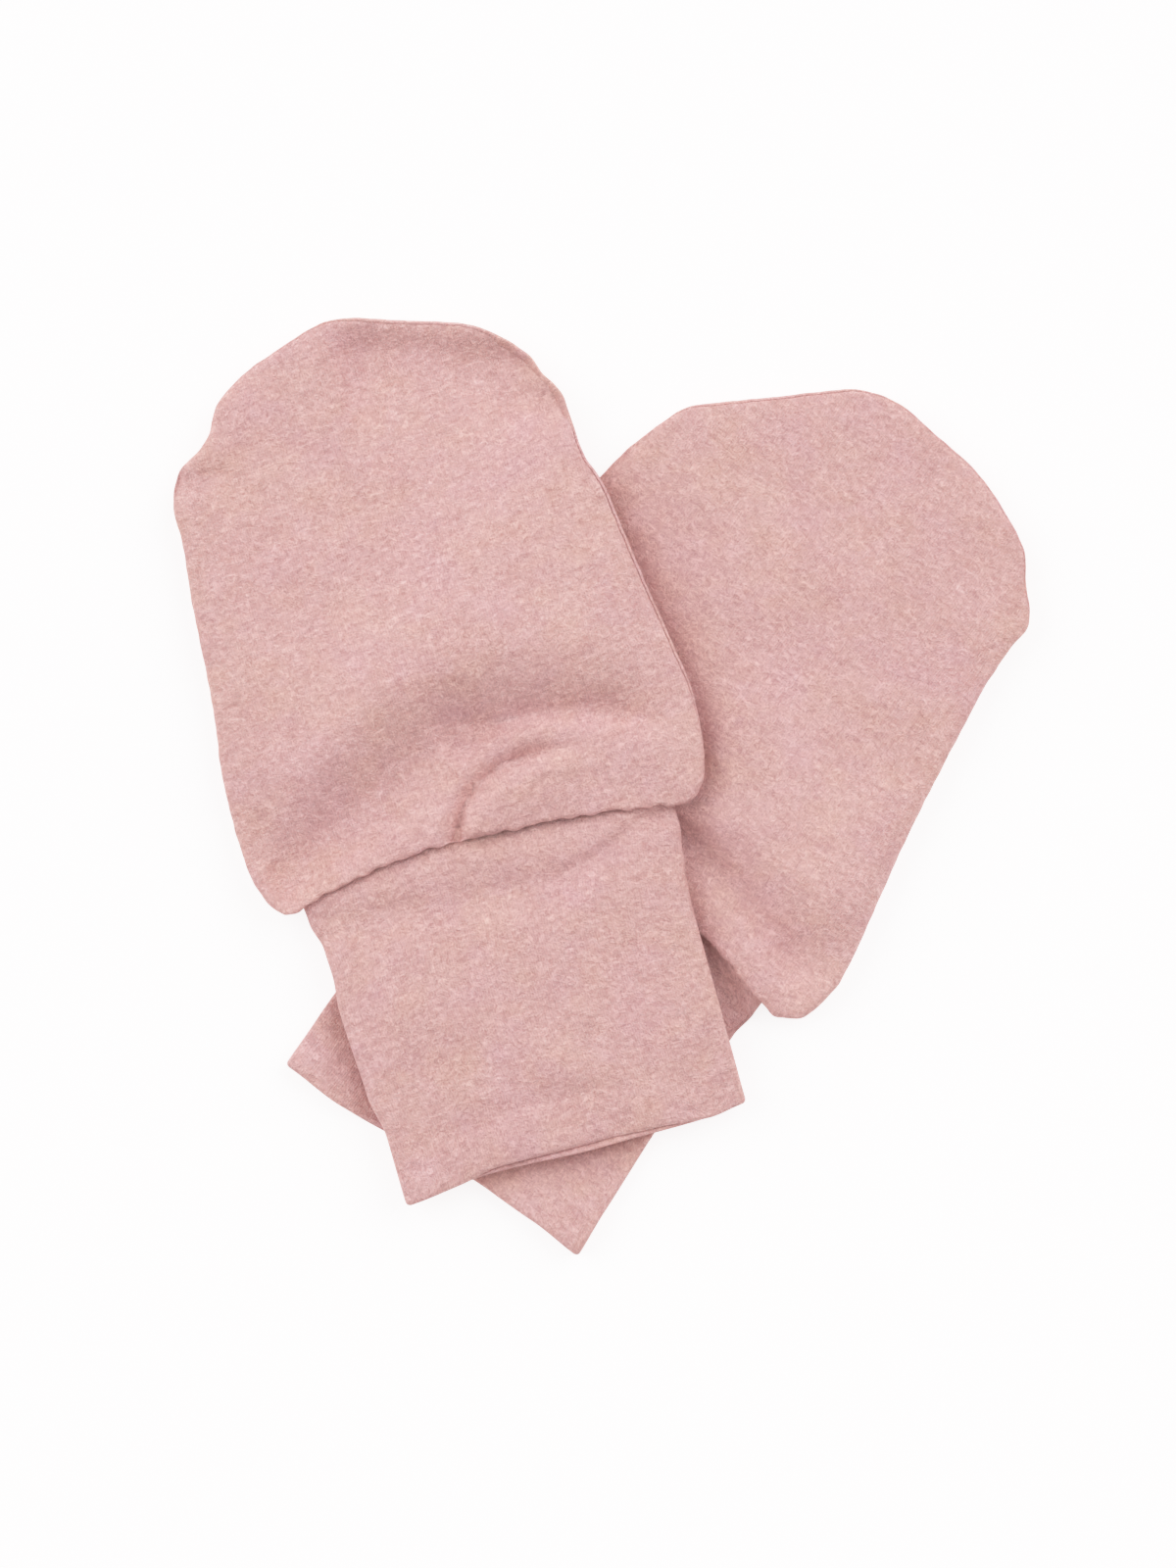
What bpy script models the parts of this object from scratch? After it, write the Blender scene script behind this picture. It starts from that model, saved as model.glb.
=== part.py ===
"""A pair of baby mittens in soft jersey, laid flat and crossed, one over the other.

Each mitten has a hand front and a hand back, sewn together round the sides and the tip, and a tall
cuff, a tube folded double at the wrist. The outer side of every piece is lofted as an open surface
and Solidify gives it its cloth wall. The tables are in millimetres.

A mitten has a frame of its own: across runs to its right, along runs from the wrist fold to the
tip, and height is taken from what it lies on. The upper mitten rises over the lower one.
"""

import math
from collections import namedtuple

import bmesh
import bpy
import numpy as np

MM = 0.001

# Cloth and seams
PANEL_WALL = 1.2
CUFF_WALL = 1.5  # two layers
SEAM_GAP = 0.5  # outside, closing to 0.2 inside
LAYER_GAP = 0.35

# The hand's rolled edge, its slow swell, and the lip that stands over the cuff
EDGE_RADIUS = 2.0
SWELL = 1.9
SWELL_REACH = 30.0
LIP_RADIUS = 1.6
LIP_RISE = 1.3
LIP_REACH = 12.0
MOUTH_HALF = 32.0
MOUTH_FADE = 3.5
PEEK_DEG = 48.0
PEEK_FROM = -25.0
PEEK_FADE = 30.0

# How folds fade: in from the rolled edge, and over a share of their length at each end
FOLD_EDGE_FADE = 3.0
FOLD_START_FADE = 0.15
FOLD_END_FADE = 0.25
FOLD_STEPS = 33

# The cuff, as it lies flat
CUFF_HEIGHT = 4.4
CUFF_CROWN = 0.4
CUFF_NECK_HEIGHT = 3.3
CUFF_NECK_REACH = 6.0
CUFF_TUCK = 1.7
HEM_ROUND = 0.55

# How far out from the lower mitten the upper one comes down to the surface
DRAPE_REACH = 26.0
DRAPE_BLEND = 3.0

# Points round a hand, round a cuff, and the rings between edge and middle
HAND_POINTS = 64
OUTLINE_POINTS = 256
HAND_MIDDLE = (0.5, 92.0)
FRONT_ROLL = (0.0, 0.05, 0.36, 0.68)
BACK_ROLL = (1.0, 0.96, 0.78, 0.54, 0.28, 0.0)
BACK_FLAT_BORDER = 5.0
FRONT_RINGS = (0.0, 0.07, 0.16, 0.27, 0.40, 0.54, 0.70, 0.86)
DRAPED_BACK_RINGS = (0.06, 0.14, 0.25, 0.38, 0.53, 0.70, 0.86)
FLAT_BACK_RINGS = (0.06, 0.40)
MOUTH_POINTS = 9
CURVE_STEPS = 24
CUFF_SIDE_STEPS = 6
CUFF_SPAN_STEPS = 11
CUFF_STATIONS = (0.0, 0.04, 0.12, 0.19, 0.28, 0.44, 0.60, 0.75, 0.84, 0.90, 0.955, 1.0)

PINK = (0.700, 0.445, 0.430, 1.0)
CLOTH_ROUGHNESS = 0.92

Section = namedtuple("Section", "along left right")
Point = namedtuple("Point", "across along")
Fold = namedtuple("Fold", "start bend end half_width rise")
Mitten = namedtuple("Mitten", "name wrist turn_deg hand tip mouth cuff hem hand_folds cuff_folds")
Mouth = namedtuple("Mouth", "ends rise lean")

OVER = Mitten(
    name="over",
    wrist=(-4.1, -58.2),
    turn_deg=16.65,
    hand=(
        Section(50.0, -34.1, 35.9),
        Section(52.2, -35.7, 37.2),
        Section(56.0, -36.9, 38.2),
        Section(60.0, -37.3, 38.7),
        Section(66.0, -37.3, 39.0),
        Section(74.0, -36.8, 38.1),
        Section(84.0, -35.2, 36.8),
        Section(94.0, -34.2, 35.7),
        Section(101.0, -33.6, 34.9),
        Section(106.0, -32.9, 33.3),
        Section(112.0, -32.2, 33.0),
        Section(117.0, -32.0, 32.6),
    ),
    tip=(
        Point(-29.6, 122.0),
        Point(-25.4, 124.6),
        Point(-22.9, 127.0),
        Point(-20.6, 130.8),
        Point(-15.0, 134.2),
        Point(-8.0, 136.6),
        Point(-1.0, 138.4),
        Point(4.0, 137.8),
        Point(12.0, 135.0),
        Point(20.5, 132.0),
        Point(25.4, 128.7),
        Point(29.3, 124.2),
        Point(30.6, 120.8),
    ),
    mouth=Mouth(ends=48.4, rise=4.8, lean=-0.03),
    cuff=(
        Section(0.0, -28.6, 28.5),
        Section(14.0, -28.4, 28.8),
        Section(29.0, -27.9, 29.0),
        Section(36.0, -28.4, 29.4),
        Section(41.0, -29.1, 30.2),
        Section(46.0, -30.2, 31.0),
        Section(54.0, -31.0, 31.2),
    ),
    hem=(Point(-28.6, -0.3), Point(-14.0, 1.1), Point(5.0, 0.1), Point(22.0, -0.8), Point(28.6, 0.0)),
    hand_folds=(
        Fold((-38.0, 58.0), (3.0, 86.5), (30.0, 64.5), 4.6, -1.5),
        Fold((-34.0, 54.0), (-12.0, 66.0), (4.0, 68.0), 4.0, 0.5),
        Fold((-4.1, 52.0), (0.0, 67.5), (22.5, 61.5), 1.6, -1.1),
        Fold((0.5, 54.5), (12.0, 60.5), (28.0, 55.5), 3.6, 0.5),
        Fold((3.0, 135.5), (10.0, 130.5), (24.0, 129.5), 3.6, -1.0),
        Fold((24.0, 119.8), (29.0, 118.5), (33.0, 115.6), 2.6, -0.8),
        Fold((-27.0, 122.5), (-24.0, 122.0), (-20.0, 121.0), 2.6, -0.7),
    ),
    cuff_folds=(
        Fold((-30.0, 46.8), (12.0, 42.0), (28.0, 46.8), 2.0, -0.5),
        Fold((-24.0, 8.0), (-4.0, 11.0), (18.0, 7.0), 2.6, -0.5),
    ),
)

UNDER = Mitten(
    name="under",
    wrist=(-26.9, -59.5),
    turn_deg=-33.25,
    hand=(
        Section(50.8, -34.5, 36.4),
        Section(53.1, -36.3, 37.8),
        Section(56.5, -37.7, 38.6),
        Section(60.0, -38.3, 38.9),
        Section(66.0, -38.8, 38.2),
        Section(74.0, -39.0, 36.9),
        Section(84.0, -38.8, 35.3),
        Section(94.0, -38.5, 34.1),
        Section(104.0, -37.8, 33.1),
        Section(112.0, -36.3, 32.4),
        Section(119.0, -33.8, 32.5),
    ),
    tip=(
        Point(-31.6, 123.2),
        Point(-27.3, 126.9),
        Point(-20.5, 132.4),
        Point(-14.0, 137.8),
        Point(-10.2, 140.4),
        Point(-4.0, 141.9),
        Point(3.5, 141.0),
        Point(12.4, 139.6),
        Point(19.5, 136.8),
        Point(25.5, 133.4),
        Point(28.6, 129.3),
        Point(31.9, 125.4),
        Point(33.0, 122.6),
    ),
    mouth=Mouth(ends=49.3, rise=6.6, lean=0.0),
    cuff=(
        Section(0.0, -28.0, 27.9),
        Section(8.0, -27.8, 27.6),
        Section(22.0, -27.4, 27.4),
        Section(32.0, -27.9, 28.3),
        Section(42.0, -29.4, 29.4),
        Section(47.0, -30.4, 30.2),
        Section(57.0, -31.0, 31.0),
    ),
    hem=(Point(-28.0, -0.2), Point(-17.0, -1.0), Point(8.0, 0.7), Point(19.0, 0.5), Point(28.0, -0.2)),
    hand_folds=(
        Fold((0.0, 67.0), (20.0, 68.0), (37.5, 58.6), 3.0, -0.9),
        Fold((6.0, 60.0), (20.0, 60.5), (33.0, 54.0), 3.2, 0.4),
    ),
    cuff_folds=(Fold((-20.0, 9.0), (0.0, 11.0), (22.0, 8.0), 2.6, -0.4),),
)


def ease(value):
    """0 below 0, 1 above 1, and a smooth rise between them."""
    t = np.clip(value, 0.0, 1.0)
    return t * t * (3.0 - 2.0 * t)


def closed_curve(knots, count):
    """Evenly spaced points on a smooth closed curve through the knots (Catmull-Rom)."""
    knots = np.array(knots, float)
    before = np.roll(knots, 1, axis=0)
    after = np.roll(knots, -1, axis=0)
    beyond = np.roll(knots, -2, axis=0)
    t = np.linspace(0.0, 1.0, CURVE_STEPS, endpoint=False)[None, :, None]
    a, b, c, d = (p[:, None, :] for p in (before, knots, after, beyond))
    curve = 0.5 * (2 * b + (c - a) * t + (2 * a - 5 * b + 4 * c - d) * t**2 + (3 * b - a - 3 * c + d) * t**3)
    curve = curve.reshape(-1, 2)
    loop = np.vstack([curve, curve[:1]])
    travelled = np.concatenate([[0.0], np.cumsum(np.linalg.norm(np.diff(loop, axis=0), axis=1))])
    stops = np.linspace(0.0, travelled[-1], count, endpoint=False)
    return np.column_stack([np.interp(stops, travelled, loop[:, axis]) for axis in (0, 1)])


def mouth_line(mitten, across):
    """Where the hand ends over the cuff: a shallow arch from corner to corner."""
    mouth = mitten.mouth
    return mouth.ends + mouth.rise * (1.0 - (across / MOUTH_HALF) ** 2) + mouth.lean * across


def hand_outline(mitten, count):
    """The hand's plan, clockwise from the left end of the mouth: left side, tip, right side, mouth."""
    left = [(row.left, row.along) for row in mitten.hand]
    right = [(row.right, row.along) for row in reversed(mitten.hand)]
    mouth_stops = np.linspace(MOUTH_HALF, -MOUTH_HALF, MOUTH_POINTS)
    mouth = [(across, mouth_line(mitten, across)) for across in mouth_stops]
    return closed_curve(left + [tuple(p) for p in mitten.tip] + right + mouth, count)


def cuff_sides(mitten, along):
    """The cuff's left and right folded edges at each height along it."""
    stops = [row.along for row in mitten.cuff]
    left = np.interp(along, stops, [row.left for row in mitten.cuff])
    right = np.interp(along, stops, [row.right for row in mitten.cuff])
    return left, right


def hem_line(mitten, across):
    """The wrist fold's slight wave."""
    return np.interp(across, [p.across for p in mitten.hem], [p.along for p in mitten.hem])


def cuff_outline(mitten):
    """The cuff's plan, from its wrist fold up into the hand."""
    along = np.linspace(0.0, mitten.cuff[-1].along, 12)
    left, right = cuff_sides(mitten, along)
    return np.vstack([np.column_stack([left, along]), np.column_stack([right, along])[::-1]])


def depth_inside(points, loop):
    """How far each point lies inside a closed loop, negative outside it."""
    step = np.roll(loop, -1, axis=0) - loop
    offset = points[:, None, :] - loop[None, :, :]
    share = np.clip((offset * step).sum(axis=2) / (step * step).sum(axis=1), 0.0, 1.0)
    nearest = offset - share[..., None] * step
    distance = np.sqrt((nearest**2).sum(axis=2)).min(axis=1)
    rises = (offset[..., 1] >= 0.0) != (offset[..., 1] >= step[None, :, 1])
    level = np.where(step[:, 1] == 0.0, 1.0, step[:, 1])
    crossing = offset[..., 0] < offset[..., 1] / level * step[:, 0]
    inside = (rises & crossing).sum(axis=1) % 2 == 1
    return np.where(inside, distance, -distance)


def mouth_share(across):
    """1 over the width of the mouth, 0 from just past its corners."""
    return 1.0 - ease((np.abs(across) - MOUTH_HALF) / MOUTH_FADE)


def lip_share(mitten, points):
    """1 along the lip, fading towards the tip and past the corners."""
    across, along = points[:, 0], points[:, 1]
    fade = np.exp(-(((along - mouth_line(mitten, across)) / LIP_REACH) ** 2))
    return mouth_share(across) * fade


def hand_crest(mitten, points, depth):
    """Height of the hand's upper side without its folds."""
    reach = np.clip(depth / SWELL_REACH, 0.0, 1.0)
    return 2.0 * EDGE_RADIUS + LIP_RISE * lip_share(mitten, points) + SWELL * (1.0 - (1.0 - reach) ** 2)


def fold_rise(folds, points):
    """Height that the folds add: each follows a bent line and fades at both ends."""
    total = np.zeros(len(points))
    t = np.linspace(0.0, 1.0, FOLD_STEPS)[:, None]
    for fold in folds:
        start, bend, end = (np.array(p) for p in (fold.start, fold.bend, fold.end))
        line = (1 - t) ** 2 * start + 2 * t * (1 - t) * bend + t**2 * end
        reach = np.linalg.norm(points[:, None, :] - line[None], axis=2)
        nearest = reach.argmin(axis=1)
        distance = reach.min(axis=1) / fold.half_width
        run = nearest / (FOLD_STEPS - 1)
        ends = ease(run / FOLD_START_FADE) * ease((1.0 - run) / FOLD_END_FADE)
        total += fold.rise * ends * np.exp(-(distance**2))
    return total


def cuff_height(mitten, points):
    """Height of the cuff's upper side, lower at the neck where the hand's lip covers it."""
    across, along = points[:, 0], points[:, 1]
    neck = ease((along - mouth_line(mitten, across) + CUFF_NECK_REACH) / CUFF_NECK_REACH)
    crown = CUFF_CROWN * (1.0 - np.clip(np.abs(across) / MOUTH_HALF, 0.0, 1.0) ** 2)
    body = CUFF_HEIGHT + crown + fold_rise(mitten.cuff_folds, points)
    return body + (CUFF_NECK_HEIGHT - body) * neck


def to_world(mitten, points):
    """Plan points of a mitten's own frame, placed on the surface."""
    turn = math.radians(mitten.turn_deg)
    x = mitten.wrist[0] + points[:, 0] * math.cos(turn) - points[:, 1] * math.sin(turn)
    y = mitten.wrist[1] + points[:, 0] * math.sin(turn) + points[:, 1] * math.cos(turn)
    return np.column_stack([x, y])


def to_mitten(mitten, places):
    """Plan points on the surface, in a mitten's own frame."""
    turn = math.radians(mitten.turn_deg)
    x, y = places[:, 0] - mitten.wrist[0], places[:, 1] - mitten.wrist[1]
    return np.column_stack([x * math.cos(turn) + y * math.sin(turn), y * math.cos(turn) - x * math.sin(turn)])


def lift(places):
    """Height of the upper mitten's underside: it lies on the lower mitten and drapes down beside it."""
    points = to_mitten(UNDER, places)
    hand_depth = depth_inside(points, hand_outline(UNDER, OUTLINE_POINTS))
    cuff_depth = depth_inside(points, cuff_outline(UNDER))
    over_hand = (hand_crest(UNDER, points, hand_depth) + LAYER_GAP) * ease(1.0 + hand_depth / DRAPE_REACH)
    over_cuff = (CUFF_HEIGHT + CUFF_CROWN + LAYER_GAP) * ease(1.0 + cuff_depth / DRAPE_REACH)
    overlap = np.clip(1.0 - np.abs(over_hand - over_cuff) / DRAPE_BLEND, 0.0, 1.0)
    blend = 0.25 * DRAPE_BLEND * overlap**2 * ease(np.minimum(over_hand, over_cuff))
    return np.maximum(over_hand, over_cuff) + blend


def placed(mitten, points, heights):
    """World positions of a mitten's points, raised by what the mitten lies on."""
    places = to_world(mitten, points)
    ground = lift(places) if mitten is OVER else 0.0
    return np.column_stack([places, heights + ground])


def inward_normals(loop):
    """Unit normals of a clockwise loop, pointing into it."""
    along = np.roll(loop, -1, axis=0) - np.roll(loop, 1, axis=0)
    normals = np.column_stack([along[:, 1], -along[:, 0]])
    return normals / np.linalg.norm(normals, axis=1)[:, None]


def seam_angle(points):
    """Angle up the rolled edge at which front meets back: level on the left, rolled over on the right."""
    return math.radians(PEEK_DEG) * ease((points[:, 0] - PEEK_FROM) / PEEK_FADE)


def front_rings(mitten):
    """The hand front's outer side, from its seam over the rolled edge to the middle."""
    loop = hand_outline(mitten, HAND_POINTS)
    outline = hand_outline(mitten, OUTLINE_POINTS)
    inward = inward_normals(loop)
    lip = lip_share(mitten, loop)
    radius = EDGE_RADIUS + (LIP_RADIUS - EDGE_RADIUS) * lip
    top = 2.0 * EDGE_RADIUS + LIP_RISE * lip
    start = seam_angle(loop) * (1.0 - lip) + 0.5 * SEAM_GAP / EDGE_RADIUS
    rings = []
    for share in FRONT_ROLL:
        angle = start + (0.5 * math.pi - start) * share
        points = loop + inward * (radius * (1.0 - np.cos(angle)))[:, None]
        rings.append(placed(mitten, points, top - radius + radius * np.sin(angle)))
    rim = loop + inward * radius[:, None]
    for share in FRONT_RINGS:
        points = rim + (np.array(HAND_MIDDLE) - rim) * share
        depth = depth_inside(points, outline) - EDGE_RADIUS
        folds = fold_rise(mitten.hand_folds, points) * ease(depth / FOLD_EDGE_FADE)
        heights = hand_crest(mitten, points, depth) + folds
        rings.append(placed(mitten, points, heights))
    return rings


def back_rings(mitten, shares):
    """The hand back's outer side, from its seam under the edge to the middle; flat where it rests."""
    loop = hand_outline(mitten, HAND_POINTS)
    inward = inward_normals(loop)
    flat = lip_share(mitten, loop)
    end = seam_angle(loop) - 0.5 * SEAM_GAP / EDGE_RADIUS
    rings = []
    for share in BACK_ROLL:
        angle = -0.5 * math.pi + (end + 0.5 * math.pi) * share
        rolled = EDGE_RADIUS * (1.0 - np.cos(angle))
        level = EDGE_RADIUS + (BACK_FLAT_BORDER - EDGE_RADIUS) * (1.0 - share)
        inset = rolled + (level - rolled) * flat
        heights = EDGE_RADIUS * (1.0 + np.sin(angle)) * (1.0 - flat)
        rings.append(placed(mitten, loop + inward * inset[:, None], heights))
    rim = loop + inward * BACK_FLAT_BORDER
    for share in shares:
        points = rim + (np.array(HAND_MIDDLE) - rim) * share
        rings.append(placed(mitten, points, np.zeros(len(points))))
    return rings


def cuff_rings(mitten):
    """The cuff's outer side: rings round the flattened tube, from the wrist fold into the hand."""
    side = np.linspace(-0.5 * math.pi, 0.5 * math.pi, CUFF_SIDE_STEPS + 1)
    span = np.linspace(-1.0, 1.0, CUFF_SPAN_STEPS + 1)[1:-1]
    spread = np.concatenate([span, np.full(len(side), 1.0), -span, np.full(len(side), -1.0)])
    quarter = np.full(len(span), 0.5 * math.pi)
    angle = np.concatenate([-quarter, side, quarter, side + math.pi])
    rings = []
    for share in CUFF_STATIONS:
        left, right = cuff_sides(mitten, share * (mitten.mouth.ends + CUFF_TUCK))
        middle, half = 0.5 * (left + right), 0.5 * (right - left)
        radius = 0.5 * CUFF_HEIGHT
        for _ in range(2):
            across = middle + spread * (half - radius) + radius * np.cos(angle)
            hem = hem_line(mitten, across)
            along = hem + share * (mouth_line(mitten, across) + CUFF_TUCK - hem)
            points = np.column_stack([across, along])
            height = cuff_height(mitten, points)
            radius = 0.5 * height
        rings.append(placed(mitten, points, 0.5 * height * (1.0 + np.sin(angle))))
    return rings


def loft(name, rings, middle=None, faces_up=True):
    """An open surface through closed rings of equal count, closed at the middle point if there is one."""
    work = bmesh.new()
    loops = [[work.verts.new(place * MM) for place in ring] for ring in rings]
    count = len(loops[0])
    for outer, inner in zip(loops, loops[1:]):
        for i in range(count):
            j = (i + 1) % count
            work.faces.new((outer[i], inner[i], inner[j], outer[j]))
    if middle is not None:
        centre = work.verts.new(middle * MM)
        for i in range(count):
            work.faces.new((loops[-1][i], centre, loops[-1][(i + 1) % count]))
    if not faces_up:
        bmesh.ops.reverse_faces(work, faces=work.faces)
    mesh = bpy.data.meshes.new(name)
    work.to_mesh(mesh)
    work.free()
    mesh.shade_smooth()
    return mesh


def sewn_piece(name, mesh, wall, collection):
    """One cut piece: the outer side given its wall of cloth, in its own material."""
    piece = bpy.data.objects.new(name, mesh)
    collection.objects.link(piece)
    mesh.materials.append(make_material(name))
    shell = piece.modifiers.new("cloth wall", "SOLIDIFY")
    shell.thickness = wall * MM
    shell.offset = -1.0
    shell.use_even_offset = True
    shell.use_quality_normals = True
    return piece


def round_hem(piece):
    """Rounds the cuff's ends, where the cloth is folded double."""
    fold = piece.modifiers.new("folded ends", "BEVEL")
    fold.width = HEM_ROUND * MM
    fold.segments = 2
    fold.limit_method = "ANGLE"
    fold.angle_limit = math.radians(65.0)


def make_material(name):
    """Plain matte pink cloth."""
    material = bpy.data.materials.new(name)
    material.use_nodes = True
    shader = material.node_tree.nodes["Principled BSDF"]
    shader.inputs["Base Color"].default_value = PINK
    shader.inputs["Roughness"].default_value = CLOTH_ROUGHNESS
    shader.inputs["Metallic"].default_value = 0.0
    return material


def middle_of(mitten, height):
    """The middle point that closes a hand panel."""
    return placed(mitten, np.array([HAND_MIDDLE]), np.array([height]))[0]


def build_mitten(mitten, back_shares, collection):
    """Hand front, hand back and cuff of one mitten."""
    outline = hand_outline(mitten, OUTLINE_POINTS)
    centre = np.array([HAND_MIDDLE])
    crown = hand_crest(mitten, centre, depth_inside(centre, outline))[0]
    front = loft(f"{mitten.name}_front", front_rings(mitten), middle_of(mitten, crown))
    back = loft(f"{mitten.name}_back", back_rings(mitten, back_shares), middle_of(mitten, 0.0), faces_up=False)
    cuff = loft(f"{mitten.name}_cuff", cuff_rings(mitten))
    sewn_piece(front.name, front, PANEL_WALL, collection)
    sewn_piece(back.name, back, PANEL_WALL, collection)
    round_hem(sewn_piece(cuff.name, cuff, CUFF_WALL, collection))


def main():
    for old in list(bpy.data.objects):
        bpy.data.objects.remove(old, do_unlink=True)
    collection = bpy.data.collections.new("pair_of_baby_mittens")
    bpy.context.scene.collection.children.link(collection)
    build_mitten(UNDER, FLAT_BACK_RINGS, collection)
    build_mitten(OVER, DRAPED_BACK_RINGS, collection)


main()
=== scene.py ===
"""The looks of a pair of baby mittens: soft pink jersey, laid flat and crossed, one over the other.

Each mitten is a hand front, a hand back and a wrist cuff. Every piece is a closed shell of cloth, lofted
ring by ring over its solid's form, with its seams, puckers and creases. The tables are in millimetres, in
a mitten's own frame: across runs to its right, along runs from the wrist fold to the tip, and height is
taken from what it lies on. The knit follows the cloth's own coordinates, laid over every shell as a UV map.
"""

import math
from collections import namedtuple

import bpy
import numpy as np
from bpy.props import FloatProperty, FloatVectorProperty, IntProperty, PointerProperty
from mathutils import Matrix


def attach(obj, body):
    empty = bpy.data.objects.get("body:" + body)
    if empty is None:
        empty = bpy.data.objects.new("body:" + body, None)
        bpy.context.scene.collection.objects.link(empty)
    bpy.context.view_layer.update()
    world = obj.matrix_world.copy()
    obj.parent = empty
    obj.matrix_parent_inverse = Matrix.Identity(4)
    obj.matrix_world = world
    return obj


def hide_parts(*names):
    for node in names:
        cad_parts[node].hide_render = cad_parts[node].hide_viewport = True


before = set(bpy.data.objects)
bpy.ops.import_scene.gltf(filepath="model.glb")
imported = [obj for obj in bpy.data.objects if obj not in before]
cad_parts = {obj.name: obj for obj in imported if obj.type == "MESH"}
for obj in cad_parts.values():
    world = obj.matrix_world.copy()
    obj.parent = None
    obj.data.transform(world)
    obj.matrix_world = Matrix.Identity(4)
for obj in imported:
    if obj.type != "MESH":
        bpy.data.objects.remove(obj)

bl_info = {
    "name": "Pair of Baby Mittens",
    "version": (1, 0, 0),
    "blender": (4, 5, 0),
    "location": "View3D > Sidebar > Mittens",
    "description": "Builds the jersey pieces of a pair of baby mittens over their packed solids",
    "category": "Add Mesh",
}

MM = 0.001
CLOTH_MAP = "cloth"

# Form of the hand: the rolled edge, the lip over the cuff, and where the seam rolls into sight
LIP_RADIUS = 1.3
LIP_WALL = 0.75
LIP_WALL_SHARE = 0.125
LIP_RISE = 0.1
LIP_REACH = 12.0
MOUTH_HALF = 32.0
MOUTH_FADE = 3.5
SWELL_REACH = 32.0
ROLL_POWER = 3.8
BACK_INSET = 2.0
BACK_BORDER = 5.0
HAND_MIDDLE = (0.5, 92.0)

# How the seams waver and pucker: their waves' lengths, and the share of them away from the mouth
WAVER_LENGTHS = (3.1, 4.3, 6.2, 9.7)
SIDE_WAVER = 0.25
PUCKER_LENGTHS = (2.6, 3.7, 5.3, 8.1)
SIDE_PUCKER = 0.4
PUCKER_REACH = 2.2
PUCKER_START = 0.7
RIPPLE_FADE = 4.0

# Form of the cuff: its crown, the valley at the hand seam and the seam allowance that lifts it there
CUFF_CROWN = 0.4
NECK_HEIGHT = 3.45
NECK_REACH = 2.2
NECK_SHIFT = 0.2
NECK_CURVE = 1.5
CUFF_RIPPLE_FADE = 5.0
CUFF_THINNEST = 0.8
ALLOWANCE_RISE = 0.3
ALLOWANCE_AT = 3.4
ALLOWANCE_WIDTH = 2.8
CUFF_TUCK = 1.7
HEM_DROP = 0.4
HEM_REACH = 1.7
REAR_CURL = 2.2

# How far the upper mitten's drape reaches beside the lower one, and how it presses that down
LAYER_GAP = 0.35
DRAPE_REACH = 28.0
DRAPE_BLEND = 3.0
PRESS = 0.57
PRESS_KEPT = 0.4
PRESS_OUTSIDE = 14.0
PRESS_CURVE = 1.5
PRESS_INSIDE = 22.0

# Fold lines
FOLD_STEPS = 40
FOLD_START_FADE = 0.16
FOLD_END_FADE = 0.26
FOLD_WANDER = 0.1
FOLD_REACH = 3.0
LAID_SOFTNESS = 0.2
LAID_WALLS = 2.1

# Points and rings of the shells
OUTLINE_POINTS = 256
CURVE_STEPS = 24
MOUTH_POINTS = 9
CROWDING = 0.8
CROWDED_AT = 54.0
CROWDED_WIDTH = 7.0
SEAM_STEPS = 5
ROLL_STEPS = 9
INNER_ROLL_STEPS = 5
INNER_RINGS = 16
CUFF_TOP_POINTS = 170
CUFF_UNDER_POINTS = 90
CUFF_SIDE_POINTS = 18
CUFF_FOLD_STEPS = 9
CUFF_INNER_RINGS = 26
BATCH = 2000
SOFT_FROM = 1.5
SOFT_FADE = 3.0
RIM_SHARE = 0.985
RIM_CROWDING = 1.15
INNER_SHARE = 0.97
FEWER_BACK_RINGS = 8
CUFF_EVENNESS = 0.55

# The stage, in metres: the floor, the lights as (bearing to the left of the tips, share of the power), the
# response to light, and a view of 187.2 by 249.6 mm at the cloth
FLOOR_HALF = 2.0
FLOOR_DROP = 0.0001
KEYS = ((68.0, 0.49), (-50.0, 0.51))
KEY_SPREAD_DEG = 56.0
KEY_HEIGHT_DEG = 35.0
SKY_COLOUR = (1.0, 0.9, 0.905)
WHITE_LEVEL = 1.6
SHOULDER = ((0.45, 0.45), (0.8, 0.73), (1.15, 0.9))
SENSOR = 36.0
CAMERA_DISTANCE = 0.9
VIEW_HEIGHT = 0.2496
VIEW_LEVEL = 0.006
VIEW_MIDDLE = (-0.00203, 0.00055)

Section = namedtuple("Section", "along left right")
Point = namedtuple("Point", "across along")
Mouth = namedtuple("Mouth", "ends rise lean")
Lip = namedtuple("Lip", "across rise overhang")
Peek = namedtuple("Peek", "bearing degrees")
Fold = namedtuple(
    "Fold",
    "start bend end left_width right_width taper edge_fade rise roundness",
    defaults=(2.0,),
)
Mitten = namedtuple(
    "Mitten",
    "name wrist turn_deg hand tip mouth lip peek cuff hem rear_fold hand_folds back_folds cuff_folds seed",
)

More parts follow.
